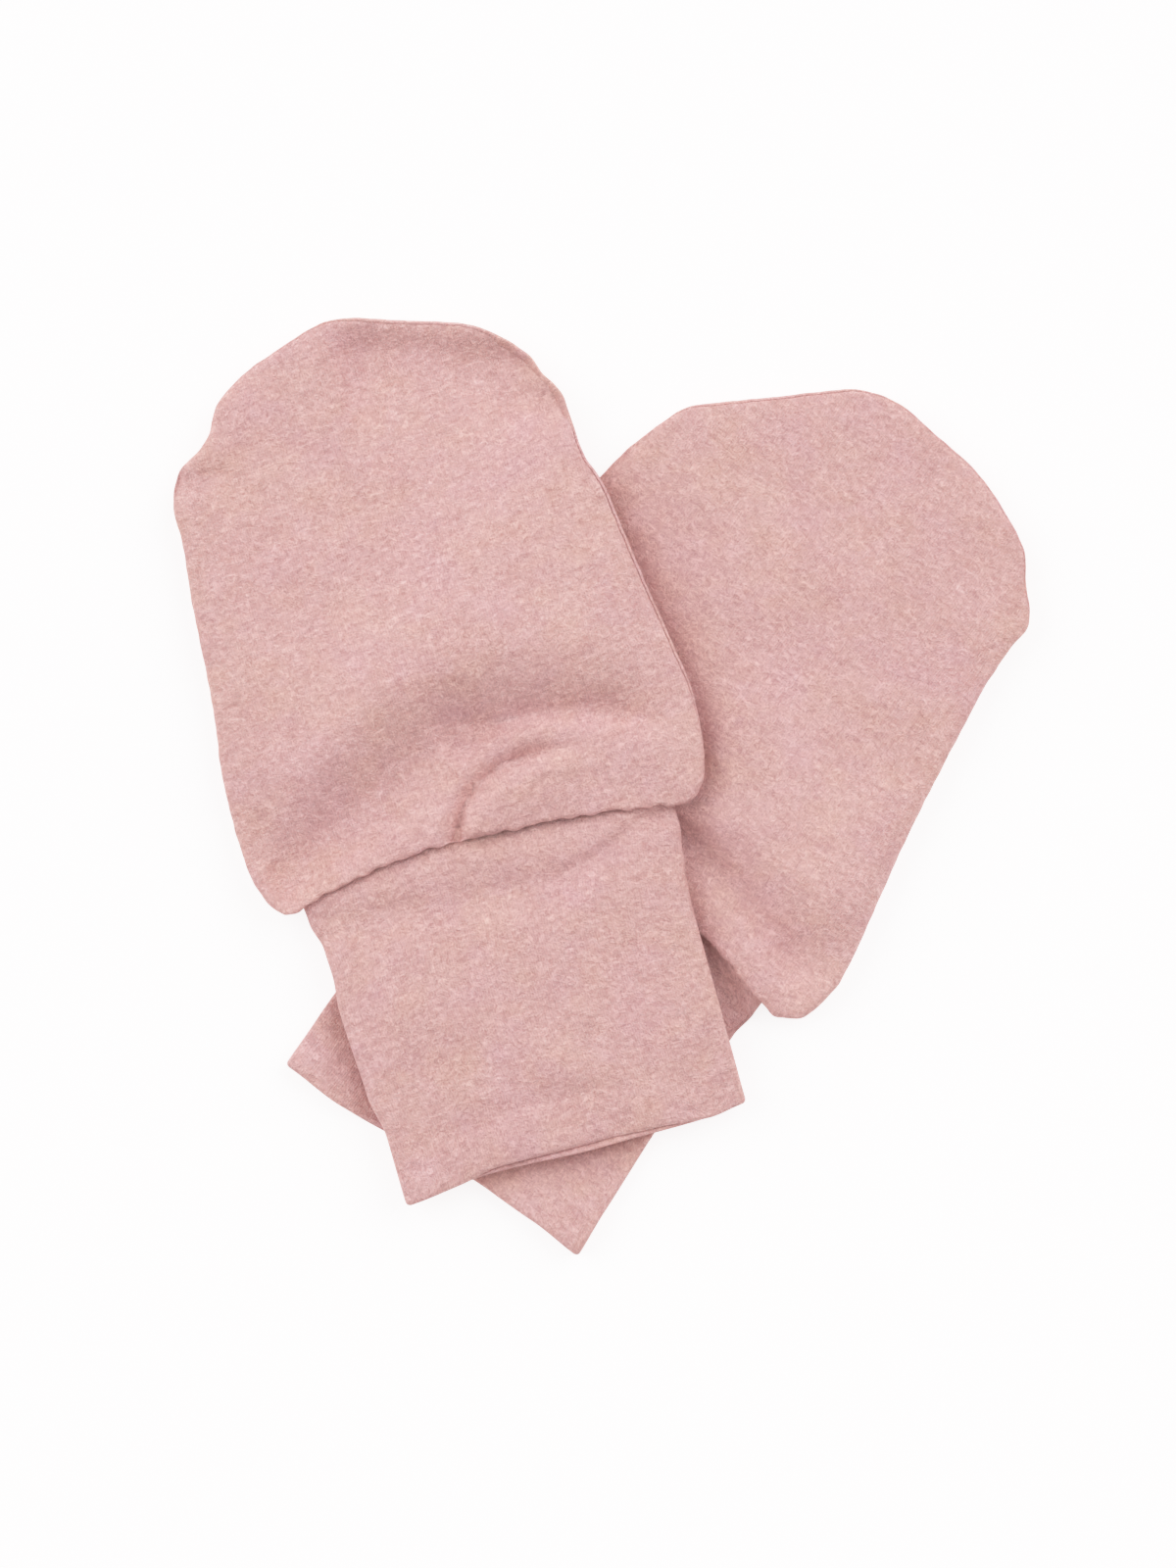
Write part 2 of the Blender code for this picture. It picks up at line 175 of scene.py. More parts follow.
OVER = Mitten(
    name="over",
    wrist=(-4.1, -58.2),
    turn_deg=16.65,
    hand=(
        Section(50.0, -34.1, 35.9),
        Section(52.2, -35.7, 37.2),
        Section(56.0, -36.9, 38.2),
        Section(60.0, -37.3, 38.7),
        Section(66.0, -37.3, 39.0),
        Section(74.0, -36.8, 38.1),
        Section(84.0, -35.2, 36.8),
        Section(94.0, -34.2, 35.7),
        Section(101.0, -33.6, 34.9),
        Section(106.0, -32.9, 33.3),
        Section(112.0, -32.2, 33.0),
        Section(117.0, -32.0, 32.6),
    ),
    tip=(
        Point(-29.6, 122.0),
        Point(-25.4, 124.6),
        Point(-22.9, 127.0),
        Point(-20.6, 130.8),
        Point(-15.0, 134.2),
        Point(-8.0, 136.6),
        Point(-1.0, 138.4),
        Point(4.0, 137.8),
        Point(12.0, 135.0),
        Point(20.5, 132.0),
        Point(25.4, 128.7),
        Point(29.3, 124.2),
        Point(30.6, 120.8),
    ),
    mouth=Mouth(ends=48.4, rise=4.8, lean=-0.03),
    lip=(
        Lip(-32.0, 0.1, 0.0),
        Lip(-12.0, 0.4, 0.15),
        Lip(-4.5, 0.4, 0.4),
        Lip(3.0, 0.5, 0.9),
        Lip(14.0, 0.6, 0.5),
        Lip(23.0, 0.1, 0.0),
        Lip(29.0, -0.3, -0.8),
        Lip(32.0, -0.4, -0.8),
    ),
    peek=(
        Peek(-40.0, 0.0),
        Peek(-5.0, 35.0),
        Peek(10.0, 56.0),
        Peek(25.0, 50.0),
        Peek(60.0, 40.0),
        Peek(75.0, 50.0),
        Peek(120.0, 46.0),
        Peek(136.0, 0.0),
    ),
    cuff=(
        Section(0.0, -28.2, 28.5),
        Section(11.0, -28.1, 28.7),
        Section(18.0, -29.2, 28.9),
        Section(31.0, -29.6, 29.1),
        Section(37.0, -29.0, 29.5),
        Section(41.0, -29.1, 30.2),
        Section(46.0, -30.2, 31.0),
        Section(54.0, -31.0, 31.2),
    ),
    hem=(Point(-28.6, -0.6), Point(-14.0, 0.5), Point(5.0, -0.5), Point(22.0, -0.9), Point(28.6, -0.2)),
    rear_fold=(Point(-19.0, 0.0), Point(-12.0, 0.8), Point(4.0, 1.1), Point(13.0, 0.7), Point(24.0, 0.0)),
    hand_folds=(
        # The large trough in two parts, and the broad ridge beside it
        Fold((-40.0, 46.0), (-14.0, 68.6), (10.0, 69.6), 6.4, 6.5, 1.1, 5.0, -3.3),
        Fold((-2.0, 66.4), (12.0, 74.6), (36.0, 60.0), 3.9, 2.3, 0.95, 4.0, -3.5, 1.5),
        Fold((-40.0, 62.6), (1.0, 94.6), (42.0, 71.6), 25.0, 7.4, 1.0, 7.0, 2.9),
        # The sharp crease up from the seam, the pouch that it gathers, and a dimple in that
        Fold((-4.2, 45.4), (-5.2, 67.4), (22.0, 61.4), 1.3, 0.6, 1.3, 0.3, -2.3, 1.6),
        Fold((-1.6, 46.0), (-2.4, 64.6), (27.0, 57.4), 1.5, 5.0, 1.0, 0.6, 1.0),
        Fold((9.0, 58.4), (15.0, 57.4), (22.0, 56.6), 1.4, 1.8, 1.0, 2.0, -0.25),
        # The dip inside the tip, the dents at its shoulders, and a faint line over the knuckles
        Fold((-2.0, 132.3), (13.0, 130.4), (33.0, 118.6), 3.9, 10.0, 1.0, 0.6, -3.1),
        Fold((22.0, 118.6), (28.0, 117.2), (36.0, 114.2), 2.6, 4.0, 1.0, 0.6, -1.6),
        Fold((-33.0, 121.0), (-27.0, 119.6), (-20.0, 119.2), 2.2, 2.4, 1.0, 0.4, -1.1),
        Fold((8.0, 106.2), (13.0, 107.6), (19.0, 108.6), 0.9, 1.3, 1.0, 3.0, -0.16),
    ),
    back_folds=(
        Fold((-33.0, 74.0), (-6.0, 88.0), (28.0, 76.0), 3.4, 4.6, 0.8, 3.0, 0.7),
        Fold((6.0, 54.0), (8.0, 60.0), (14.0, 64.0), 2.2, 2.6, 1.2, 2.0, 0.25),
        Fold((-20.0, 122.0), (-6.0, 118.0), (12.0, 121.0), 3.0, 3.4, 1.0, 2.0, 0.5),
    ),
    cuff_folds=(
        # A crescent under the seam in two parts, and a hollow above the wrist fold
        Fold((-34.0, 47.5), (-10.0, 41.5), (14.0, 42.8), 3.2, 4.0, 1.0, 0.0, -1.2),
        Fold((6.0, 42.4), (19.0, 43.2), (36.0, 53.0), 1.5, 3.6, 1.0, 0.0, -1.3, 1.6),
        Fold((-25.0, 7.6), (-4.0, 11.4), (19.0, 6.4), 2.6, 2.0, 0.8, 0.0, -0.5),
    ),
    seed=5,
)

UNDER = Mitten(
    name="under",
    wrist=(-26.9, -59.5),
    turn_deg=-33.25,
    hand=(
        Section(50.8, -34.5, 36.4),
        Section(53.1, -36.3, 37.8),
        Section(56.5, -37.7, 38.6),
        Section(60.0, -38.3, 38.9),
        Section(66.0, -38.8, 38.2),
        Section(74.0, -39.0, 36.9),
        Section(84.0, -38.8, 35.3),
        Section(94.0, -38.5, 34.1),
        Section(104.0, -37.8, 33.1),
        Section(112.0, -36.3, 32.4),
        Section(119.0, -33.8, 32.5),
    ),
    tip=(
        Point(-31.6, 123.2),
        Point(-27.3, 126.9),
        Point(-20.5, 132.4),
        Point(-14.0, 137.8),
        Point(-10.2, 140.4),
        Point(-4.0, 141.9),
        Point(3.5, 141.0),
        Point(12.4, 139.6),
        Point(19.5, 136.8),
        Point(25.5, 133.4),
        Point(28.6, 129.3),
        Point(31.9, 125.4),
        Point(33.0, 122.6),
    ),
    mouth=Mouth(ends=49.3, rise=6.6, lean=0.0),
    lip=(
        Lip(-32.0, -0.1, 0.0),
        Lip(0.0, 0.2, 0.1),
        Lip(17.0, 0.8, 0.6),
        Lip(25.0, 0.8, 0.5),
        Lip(32.0, 0.2, 0.0),
    ),
    peek=(
        Peek(-60.0, 0.0),
        Peek(-40.0, 48.0),
        Peek(-18.0, 48.0),
        Peek(-8.0, 34.0),
        Peek(38.0, 34.0),
        Peek(52.0, 0.0),
    ),
    cuff=(
        Section(0.0, -28.0, 27.9),
        Section(8.0, -27.8, 27.6),
        Section(22.0, -27.4, 27.4),
        Section(32.0, -27.9, 28.3),
        Section(42.0, -29.4, 29.4),
        Section(47.0, -30.4, 30.2),
        Section(57.0, -31.0, 31.0),
    ),
    hem=(Point(-28.0, -0.2), Point(-17.0, -1.0), Point(8.0, 0.7), Point(19.0, 0.5), Point(28.0, -0.2)),
    rear_fold=(Point(-22.0, 0.0), Point(-4.0, 0.4), Point(16.0, 0.0)),
    hand_folds=(
        # The trough by the free corner, the ridge beside it, and soft dips over the hand
        Fold((-1.0, 65.5), (19.0, 64.4), (38.5, 54.8), 3.7, 3.4, 0.9, 3.0, -3.6, 1.6),
        Fold((-4.0, 72.4), (20.0, 76.4), (40.0, 63.4), 15.0, 6.2, 1.0, 4.0, 2.2),
        Fold((-30.0, 70.0), (-8.0, 80.0), (6.0, 74.0), 4.0, 5.0, 1.0, 3.0, -0.5),
        Fold((2.0, 92.0), (14.0, 96.0), (31.0, 90.0), 4.0, 5.0, 1.0, 3.0, -0.25),
        Fold((-22.0, 118.0), (-6.0, 124.0), (12.0, 120.0), 4.0, 5.0, 1.0, 3.0, -0.25),
        # A dent that follows the edge where the upper mitten crosses it
        Fold((-37.6, 102.0), (-36.8, 109.0), (-33.8, 118.0), 0.9, 0.9, 1.0, 0.0, -1.8),
    ),
    back_folds=(
        Fold((-30.0, 72.0), (0.0, 88.0), (28.0, 78.0), 3.6, 4.6, 0.8, 3.0, 0.7),
        Fold((-8.0, 54.0), (-12.0, 64.0), (-22.0, 70.0), 2.2, 2.6, 1.2, 2.0, 0.4),
        Fold((-10.0, 134.0), (4.0, 129.0), (18.0, 130.0), 3.0, 3.4, 1.0, 2.0, 0.5),
    ),
    cuff_folds=(
        # A valley under the seam, the deep tuck with its small pinch, and a hollow above the wrist fold
        Fold((-28.0, 47.4), (6.0, 44.0), (27.0, 47.4), 1.5, 3.0, 1.0, 0.0, -0.45),
        Fold((8.5, 55.0), (23.0, 50.0), (34.0, 43.0), 3.0, 4.4, 1.0, 0.0, -2.6),
        Fold((15.0, 51.0), (23.0, 46.0), (30.0, 40.0), 0.6, 0.9, 1.0, 0.0, 0.8),
        Fold((-20.0, 9.0), (0.0, 11.0), (22.0, 8.0), 2.6, 2.2, 0.9, 0.0, -0.4),
    ),
    seed=11,
)

MITTENS = (UNDER, OVER)


class MittenSizes(bpy.types.PropertyGroup):
    """Sizes of the cloth, its seams and its creases."""

    panel_wall: FloatProperty(
        name="Panel wall", description="Thickness of the hand panels", default=1.0 * MM, unit="LENGTH"
    )
    cuff_wall: FloatProperty(
        name="Cuff wall", description="Thickness of the cuff, two layers", default=1.4 * MM, unit="LENGTH"
    )
    edge_radius: FloatProperty(
        name="Edge radius", description="Radius of the hand's rolled edge", default=2.4 * MM, unit="LENGTH"
    )
    swell: FloatProperty(
        name="Swell",
        description="How far the hand rises inside its rolled edge",
        default=0.8 * MM,
        unit="LENGTH",
    )
    cuff_height: FloatProperty(
        name="Cuff height", description="Height of the flattened cuff", default=3.7 * MM, unit="LENGTH"
    )
    seam_groove: FloatProperty(
        name="Seam groove", description="Depth and shoulder radius of a seam", default=0.5 * MM, unit="LENGTH"
    )
    seam_gap: FloatProperty(
        name="Seam gap", description="Between the two pieces at a seam", default=0.16 * MM, unit="LENGTH"
    )
    pucker: FloatProperty(
        name="Pucker", description="Height of the puckers along the seams", default=0.2 * MM, unit="LENGTH"
    )
    scallop: FloatProperty(
        name="Scallop", description="How far the seams waver in plan", default=0.22 * MM, unit="LENGTH"
    )
    ripple: FloatProperty(
        name="Ripple", description="Slow unevenness of the cloth", default=0.16 * MM, unit="LENGTH"
    )
    wale_width: FloatProperty(
        name="Wale width", description="Width of one column of stitches", default=0.83 * MM, unit="LENGTH"
    )
    course_height: FloatProperty(
        name="Course height", description="Height of one row of stitches", default=0.64 * MM, unit="LENGTH"
    )
    crease_depth: FloatProperty(
        name="Crease depth", description="Scales every fold", default=1.0, subtype="FACTOR", min=0.0, max=1.5
    )
    points_round: IntProperty(
        name="Points round", description="Points round a hand panel", default=560, min=64, max=600
    )
    rings: IntProperty(
        name="Rings", description="Rings between a panel's edge and its middle", default=94, min=8, max=120
    )
    cuff_rings: IntProperty(
        name="Cuff rings", description="Rings along a cuff's outer side", default=120, min=12, max=160
    )


class MittenColours(bpy.types.PropertyGroup):
    """Colours of the jersey and the strength of the light."""

    cloth: FloatVectorProperty(
        name="Cloth",
        description="The jersey's own pink",
        default=(0.655, 0.404, 0.386),
        subtype="COLOR",
        min=0.0,
        max=1.0,
    )
    warm: FloatVectorProperty(
        name="Warm tint",
        description="Peach patches of the heather",
        default=(0.659, 0.403, 0.371),
        subtype="COLOR",
        min=0.0,
        max=1.0,
    )
    cool: FloatVectorProperty(
        name="Cool tint",
        description="Mauve patches of the heather",
        default=(0.648, 0.398, 0.393),
        subtype="COLOR",
        min=0.0,
        max=1.0,
    )
    floor: FloatVectorProperty(
        name="Floor", description="The pale floor", default=(0.5, 0.5, 0.5), subtype="COLOR", min=0.0, max=1.0
    )
    floor_glow: FloatProperty(
        name="Floor glow", description="Light of the floor's own, which softens shadows on it", default=0.9
    )
    key_power: FloatProperty(name="Key light", description="Strength of the broad soft light", default=3.1)
    sky: FloatProperty(name="Fill light", description="Strength of the even light all round", default=0.72)


def ease(value):
    """0 below 0, 1 above 1, and a smooth rise between them."""
    t = np.clip(value, 0.0, 1.0)
    return t * t * (3.0 - 2.0 * t)


def along_table(stops, values, at):
    """Reads a table smoothly: an even curve through its rows, flat beyond its ends."""
    stops, values = np.array(stops, float), np.array(values, float)
    row = np.clip(np.searchsorted(stops, at) - 1, 0, len(stops) - 2)
    share = ease((at - stops[row]) / (stops[row + 1] - stops[row]))
    return values[row] + (values[row + 1] - values[row]) * share


def line_at(points, across):
    """Reads a line of points: how far along it lies at each place across."""
    return along_table([point.across for point in points], [point.along for point in points], across)


def closed_curve(knots, count, crowding=0.0):
    """Points on a smooth closed curve through the knots (Catmull-Rom), even or crowded at the mouth."""
    knots = np.array(knots, float)
    before = np.roll(knots, 1, axis=0)
    after = np.roll(knots, -1, axis=0)
    beyond = np.roll(knots, -2, axis=0)
    t = np.linspace(0.0, 1.0, CURVE_STEPS, endpoint=False)[None, :, None]
    a, b, c, d = (p[:, None, :] for p in (before, knots, after, beyond))
    curve = 0.5 * (2 * b + (c - a) * t + (2 * a - 5 * b + 4 * c - d) * t**2 + (3 * b - a - 3 * c + d) * t**3)
    curve = curve.reshape(-1, 2)
    loop = np.vstack([curve, curve[:1]])
    crowded = 1.0 + crowding * np.exp(-(((loop[1:, 1] - CROWDED_AT) / CROWDED_WIDTH) ** 2))
    travelled = np.concatenate([[0.0], np.cumsum(np.linalg.norm(np.diff(loop, axis=0), axis=1) * crowded)])
    stops = np.linspace(0.0, travelled[-1], count, endpoint=False)
    return np.column_stack([np.interp(stops, travelled, loop[:, axis]) for axis in (0, 1)])


def mouth_line(mitten, across):
    """Where the hand ends over the cuff: a shallow arch from corner to corner."""
    mouth = mitten.mouth
    return mouth.ends + mouth.rise * (1.0 - (across / MOUTH_HALF) ** 2) + mouth.lean * across


def hand_outline(mitten, count, crowding=0.0):
    """The hand's plan, clockwise from the left end of the mouth: left side, tip, right side, mouth."""
    left = [(row.left, row.along) for row in mitten.hand]
    right = [(row.right, row.along) for row in reversed(mitten.hand)]
    mouth_stops = np.linspace(MOUTH_HALF, -MOUTH_HALF, MOUTH_POINTS)
    mouth = [(across, mouth_line(mitten, across)) for across in mouth_stops]
    return closed_curve(left + [tuple(p) for p in mitten.tip] + right + mouth, count, crowding)


def cuff_sides(mitten, along):
    """The cuff's left and right folded edges at each height along it."""
    stops = [row.along for row in mitten.cuff]
    left = along_table(stops, [row.left for row in mitten.cuff], along)
    right = along_table(stops, [row.right for row in mitten.cuff], along)
    return left, right


def cuff_outline(mitten):
    """The cuff's plan, from its wrist fold up into the hand."""
    along = np.linspace(0.0, mitten.cuff[-1].along, 12)
    left, right = cuff_sides(mitten, along)
    return np.vstack([np.column_stack([left, along]), np.column_stack([right, along])[::-1]])


def nearest_on(points, line):
    """Distance to a line of points, how far along it that is (0 to 1), and 1 where it lies to the right."""
    start = line[:-1].astype(np.float32)
    step = np.diff(line, axis=0).astype(np.float32)
    unit = step / (step * step).sum(axis=1)[:, None]
    result = np.empty((len(points), 3))
    for first in range(0, len(points), BATCH):
        batch = points[first : first + BATCH].astype(np.float32)
        x = batch[:, :1] - start[:, 0]
        y = batch[:, 1:2] - start[:, 1]
        share = np.clip(x * unit[:, 0] + y * unit[:, 1], 0.0, 1.0)
        square = (x - share * step[:, 0]) ** 2 + (y - share * step[:, 1]) ** 2
        nearest = square.argmin(axis=1)
        row = np.arange(len(batch))
        x, y = x[row, nearest], y[row, nearest]
        part = result[first : first + BATCH]
        part[:, 0] = np.sqrt(square[row, nearest])
        part[:, 1] = (nearest + share[row, nearest]) / len(start)
        part[:, 2] = step[nearest, 0] * y - step[nearest, 1] * x < 0.0
    return result.T


def is_inside(points, loop):
    """Whether each point lies inside a closed loop, by the sides that a line to its right crosses."""
    start, end = loop.astype(np.float32), np.roll(loop, -1, axis=0).astype(np.float32)
    rise = np.where(end[:, 1] == start[:, 1], 1.0, end[:, 1] - start[:, 1])
    lean = (end[:, 0] - start[:, 0]) / rise
    result = np.empty(len(points), bool)
    for first in range(0, len(points), BATCH):
        batch = points[first : first + BATCH].astype(np.float32)
        x, y = batch[:, :1], batch[:, 1:2]
        crosses = (start[:, 1] > y) != (end[:, 1] > y)
        lies_left = x < start[:, 0] + (y - start[:, 1]) * lean
        result[first : first + BATCH] = (crosses & lies_left).sum(axis=1) % 2 == 1
    return result


def depth_inside(points, loop):
    """How far each point lies inside a closed loop, negative outside it."""
    distance = nearest_on(points, np.vstack([loop, loop[:1]]))[0]
    return distance * np.where(is_inside(points, loop), 1.0, -1.0)


def soft_depth(points, loop):
    """The depth inside a loop, rounded off where the nearest side changes.

    Each point of the loop pulls by the distance to the power -6. Beside a straight line of points these
    pulls add up to 3/8 pi / depth**5, so the sum gives a depth back that takes every side into account.
    """
    exact = depth_inside(points, loop)
    deep = np.flatnonzero(exact > SOFT_FROM)
    spacing = np.linalg.norm(loop[1] - loop[0])
    pull = np.empty(len(deep))
    corners = loop.astype(np.float32)
    for first in range(0, len(deep), BATCH):
        batch = points[deep[first : first + BATCH]].astype(np.float32)
        square = (batch[:, :1] - corners[:, 0]) ** 2 + (batch[:, 1:2] - corners[:, 1]) ** 2
        pull[first : first + BATCH] = (1.0 / (square * square * square)).sum(axis=1)
    rounded = (pull * spacing / (0.375 * math.pi)) ** -0.2
    soft = exact.copy()
    soft[deep] += (rounded - exact[deep]) * ease((exact[deep] - SOFT_FROM) / SOFT_FADE)
    return soft


def mouth_share(across):
    """1 over the width of the mouth, 0 from just past its corners."""
    return 1.0 - ease((np.abs(across) - MOUTH_HALF) / MOUTH_FADE)


def lip_share(mitten, points):
    """1 along the lip, fading towards the tip and past the corners."""
    across, along = points[:, 0], points[:, 1]
    fade = np.exp(-(((along - mouth_line(mitten, across)) / LIP_REACH) ** 2))
    return mouth_share(across) * fade


def lip_table(mitten, across, column):
    """One column of the lip's table, read across the mouth."""
    stops = [row.across for row in mitten.lip]
    return along_table(stops, [getattr(row, column) for row in mitten.lip], across)


def hand_crest(mitten, points, depth, sizes):
    """Height of the hand's upper side without its folds."""
    reach = np.clip(depth / SWELL_REACH, 0.0, 1.0)
    lip = (LIP_RISE + lip_table(mitten, points[:, 0], "rise")) * lip_share(mitten, points)
    return 2.0 * sizes.edge_radius / MM + lip + sizes.swell / MM * (1.0 - (1.0 - reach) ** 2)


def lying(height, floor):
    """Height of cloth that is folded down no further than the cloth it lies on."""
    return floor + LAID_SOFTNESS * np.logaddexp(0.0, (height - floor) / LAID_SOFTNESS)


def fold_rise(folds, points, depth, sizes):
    """Height that the folds add: each follows a bent line, with a side of its own width left and right.

    Its roundness shapes its section: 2 makes a soft bell, and less makes a sharper crease.
    """
    total = np.zeros(len(points))
    t = np.linspace(0.0, 1.0, FOLD_STEPS + 1)[:, None]
    for number, fold in enumerate(folds):
        start, bend, end = (np.array(p) for p in (fold.start, fold.bend, fold.end))
        line = (1 - t) ** 2 * start + 2 * t * (1 - t) * bend + t**2 * end
        reach = FOLD_REACH * max(fold.left_width, fold.right_width) * max(1.0, fold.taper)
        near = np.flatnonzero(
            ((points > line.min(axis=0) - reach) & (points < line.max(axis=0) + reach)).all(axis=1)
        )
        if not len(near):
            continue
        distance, run, right = nearest_on(points[near], line)
        width = np.where(right > 0.0, fold.right_width, fold.left_width) * (1.0 + (fold.taper - 1.0) * run)
        ends = ease(run / FOLD_START_FADE) * ease((1.0 - run) / FOLD_END_FADE)
        uneven = 1.0 + FOLD_WANDER * np.sin(7.0 * run + 2.3 * number)
        edge = ease(depth[near] / fold.edge_fade) if fold.edge_fade else 1.0
        total[near] += fold.rise * ends * uneven * edge * np.exp(-((distance / width) ** fold.roundness))
    return total * sizes.crease_depth


def ripple(points, seed, sizes):
    """The slow unevenness of washed jersey: a sum of plane waves, the same at every run."""
    draw = np.random.default_rng(seed)
    total = np.zeros(len(points))
    lengths = np.geomspace(7.0, 30.0, 12)
    for length in lengths:
        heading = draw.uniform(0.0, math.pi)
        way = points[:, 0] * math.cos(heading) + points[:, 1] * math.sin(heading)
        total += (length / 20.0) * np.sin(2.0 * math.pi * way / length + draw.uniform(0.0, 2.0 * math.pi))
    return sizes.ripple / MM * total / math.sqrt(0.5 * len(lengths))


def seam_wave(arc, girth, lengths, seed):
    """An uneven wave along a closed seam, about -1 to 1, that meets itself."""
    draw = np.random.default_rng(seed)
    total = np.zeros(len(arc))
    for length in lengths:
        turns = max(1, round(girth / length))
        height, shift = draw.uniform(0.6, 1.0), draw.uniform(0.0, 6.28)
        total += height * np.sin(2.0 * math.pi * turns * arc / girth + shift)
    return total / math.sqrt(len(lengths))


def to_world(mitten, points):
    """Plan points of a mitten's own frame, placed on the surface."""
    turn = math.radians(mitten.turn_deg)
    x = mitten.wrist[0] + points[:, 0] * math.cos(turn) - points[:, 1] * math.sin(turn)
    y = mitten.wrist[1] + points[:, 0] * math.sin(turn) + points[:, 1] * math.cos(turn)
    return np.column_stack([x, y])


def to_mitten(mitten, places):
    """Plan points on the surface, in a mitten's own frame."""
    turn = math.radians(mitten.turn_deg)
    x, y = places[:, 0] - mitten.wrist[0], places[:, 1] - mitten.wrist[1]
    return np.column_stack([x * math.cos(turn) + y * math.sin(turn), y * math.cos(turn) - x * math.sin(turn)])


def lift(places, sizes):
    """Height of the upper mitten's underside: it lies on the lower mitten and drapes down beside it."""
    points = to_mitten(UNDER, places)
    hand_depth = soft_depth(points, hand_outline(UNDER, OUTLINE_POINTS))
    cuff_depth = depth_inside(points, cuff_outline(UNDER))
    hand_top = hand_crest(UNDER, points, hand_depth, sizes) + LAYER_GAP
    over_hand = hand_top * ease(1.0 + hand_depth / DRAPE_REACH)
    cuff_top = sizes.cuff_height / MM + CUFF_CROWN + LAYER_GAP
    over_cuff = cuff_top * ease(1.0 + cuff_depth / DRAPE_REACH)
    overlap = np.clip(1.0 - np.abs(over_hand - over_cuff) / DRAPE_BLEND, 0.0, 1.0)
    blend = 0.25 * DRAPE_BLEND * overlap**2 * ease(np.minimum(over_hand, over_cuff))
    return np.maximum(over_hand, over_cuff) + blend


def kept_height(places):
    """Share of its height that the lower mitten keeps, pressed down under and close beside the upper one."""
    points = to_mitten(OVER, places)
    hand_depth = depth_inside(points, hand_outline(OVER, OUTLINE_POINTS))
    depth = np.maximum(hand_depth, depth_inside(points, cuff_outline(OVER)))
    beside = np.clip(1.0 + depth / PRESS_OUTSIDE, 0.0, 1.0) ** PRESS_CURVE
    return 1.0 - PRESS * beside * (1.0 - (1.0 - PRESS_KEPT) * ease(depth / PRESS_INSIDE))


def placed(mitten, rings, sizes):
    """World positions of a mitten's rings of (across, along, height), raised by what the mitten lies on."""
    flat = rings.reshape(-1, 3)
    places = to_world(mitten, flat[:, :2])
    kept = kept_height(places)
    height = flat[:, 2] + lift(places, sizes) * kept if mitten is OVER else flat[:, 2] * kept
    return np.column_stack([places, height]).reshape(rings.shape)


def inward_normals(loop):
    """Unit normals of a clockwise loop, pointing into it."""
    along = np.roll(loop, -2, axis=0) - np.roll(loop, 2, axis=0)
    normals = np.column_stack([along[:, 1], -along[:, 0]])
    return normals / np.linalg.norm(normals, axis=1)[:, None]


def seam_angle(mitten, points):
    """Angle up the rolled edge at which front meets back, by the bearing clockwise from the tip."""
    across, along = points[:, 0] - HAND_MIDDLE[0], points[:, 1] - HAND_MIDDLE[1]
    bearing = np.degrees(np.arctan2(across, along))
    stops = [row.bearing for row in mitten.peek]
    return np.radians(along_table(stops, [row.degrees for row in mitten.peek], bearing))


def roll_section(angle):
    """The rolled edge's section, squarer than a circle: (out, up) where its normal has this angle."""
    out, up = np.cos(angle), np.sin(angle)
    power, root = ROLL_POWER / (ROLL_POWER - 1.0), 1.0 / (ROLL_POWER - 1.0)
    size = (np.abs(out) ** power + np.abs(up) ** power) ** (1.0 / ROLL_POWER)
    return np.sign(out) * np.abs(out) ** root / size, np.sign(up) * np.abs(up) ** root / size


class HandEdge:
    """A hand panel's edge: its plan, where its seam runs, and how its roll and puckers vary along it."""

    def __init__(self, mitten, sizes):
        self.loop = hand_outline(mitten, sizes.points_round, CROWDING)
        self.outline = hand_outline(mitten, OUTLINE_POINTS)
        step = np.linalg.norm(np.roll(self.loop, -1, axis=0) - self.loop, axis=1)
        self.girth = step.sum()
        self.arc = np.concatenate([[0.0], np.cumsum(step)[:-1]])
        self.inward = inward_normals(self.loop)
        self.lip = lip_share(mitten, self.loop)
        waver = seam_wave(self.arc, self.girth, WAVER_LENGTHS, mitten.seed)
        self.waver = sizes.scallop / MM * waver * (SIDE_WAVER + (1.0 - SIDE_WAVER) * self.lip)
        pucker = seam_wave(self.arc, self.girth, PUCKER_LENGTHS, mitten.seed + 1)
        self.pucker = sizes.pucker / MM * pucker * (SIDE_PUCKER + (1.0 - SIDE_PUCKER) * self.lip)
        self.seam = seam_angle(mitten, self.loop) * (1.0 - self.lip)

    def inset(self, distance):
        """Plan points this far in from the edge."""
        return self.loop + self.inward * np.broadcast_to(distance, self.arc.shape)[:, None]

    def puckers(self, depth):
        """Height of the short wrinkles that run in from the seam."""
        return self.pucker * np.exp(-depth / PUCKER_REACH) * (1.0 - np.exp(-depth / PUCKER_START))


def groove_steps(groove):
    """How a cloth edge turns down into its seam: (depth under the surface, way along it) for each step."""
    turn = np.linspace(0.0, 0.5 * math.pi, SEAM_STEPS)
    return [(groove * (1.0 - math.cos(a)), groove * (1.0 - math.sin(a))) for a in reversed(turn)]


def ring_of(points, heights):
    """A ring of (across, along, height)."""
    return np.column_stack([points, np.broadcast_to(heights, len(points))])


def lay_out(edge, rows, rim, reach):
    """Maps the rings after the rim's on to the cloth, each as far out as the way over the roll to it."""
    travelled = 0.0
    for row in range(rim + 1, len(rows)):
        travelled = travelled + np.linalg.norm(rows[row][0] - rows[row - 1][0], axis=1)
        rows[row] = (rows[row][0], edge.inset(reach - travelled))


def towards_middle(rim, share):
    """A ring's plan points, moved from the rim towards the hand's middle."""
    return rim + (np.array(HAND_MIDDLE) - rim) * share


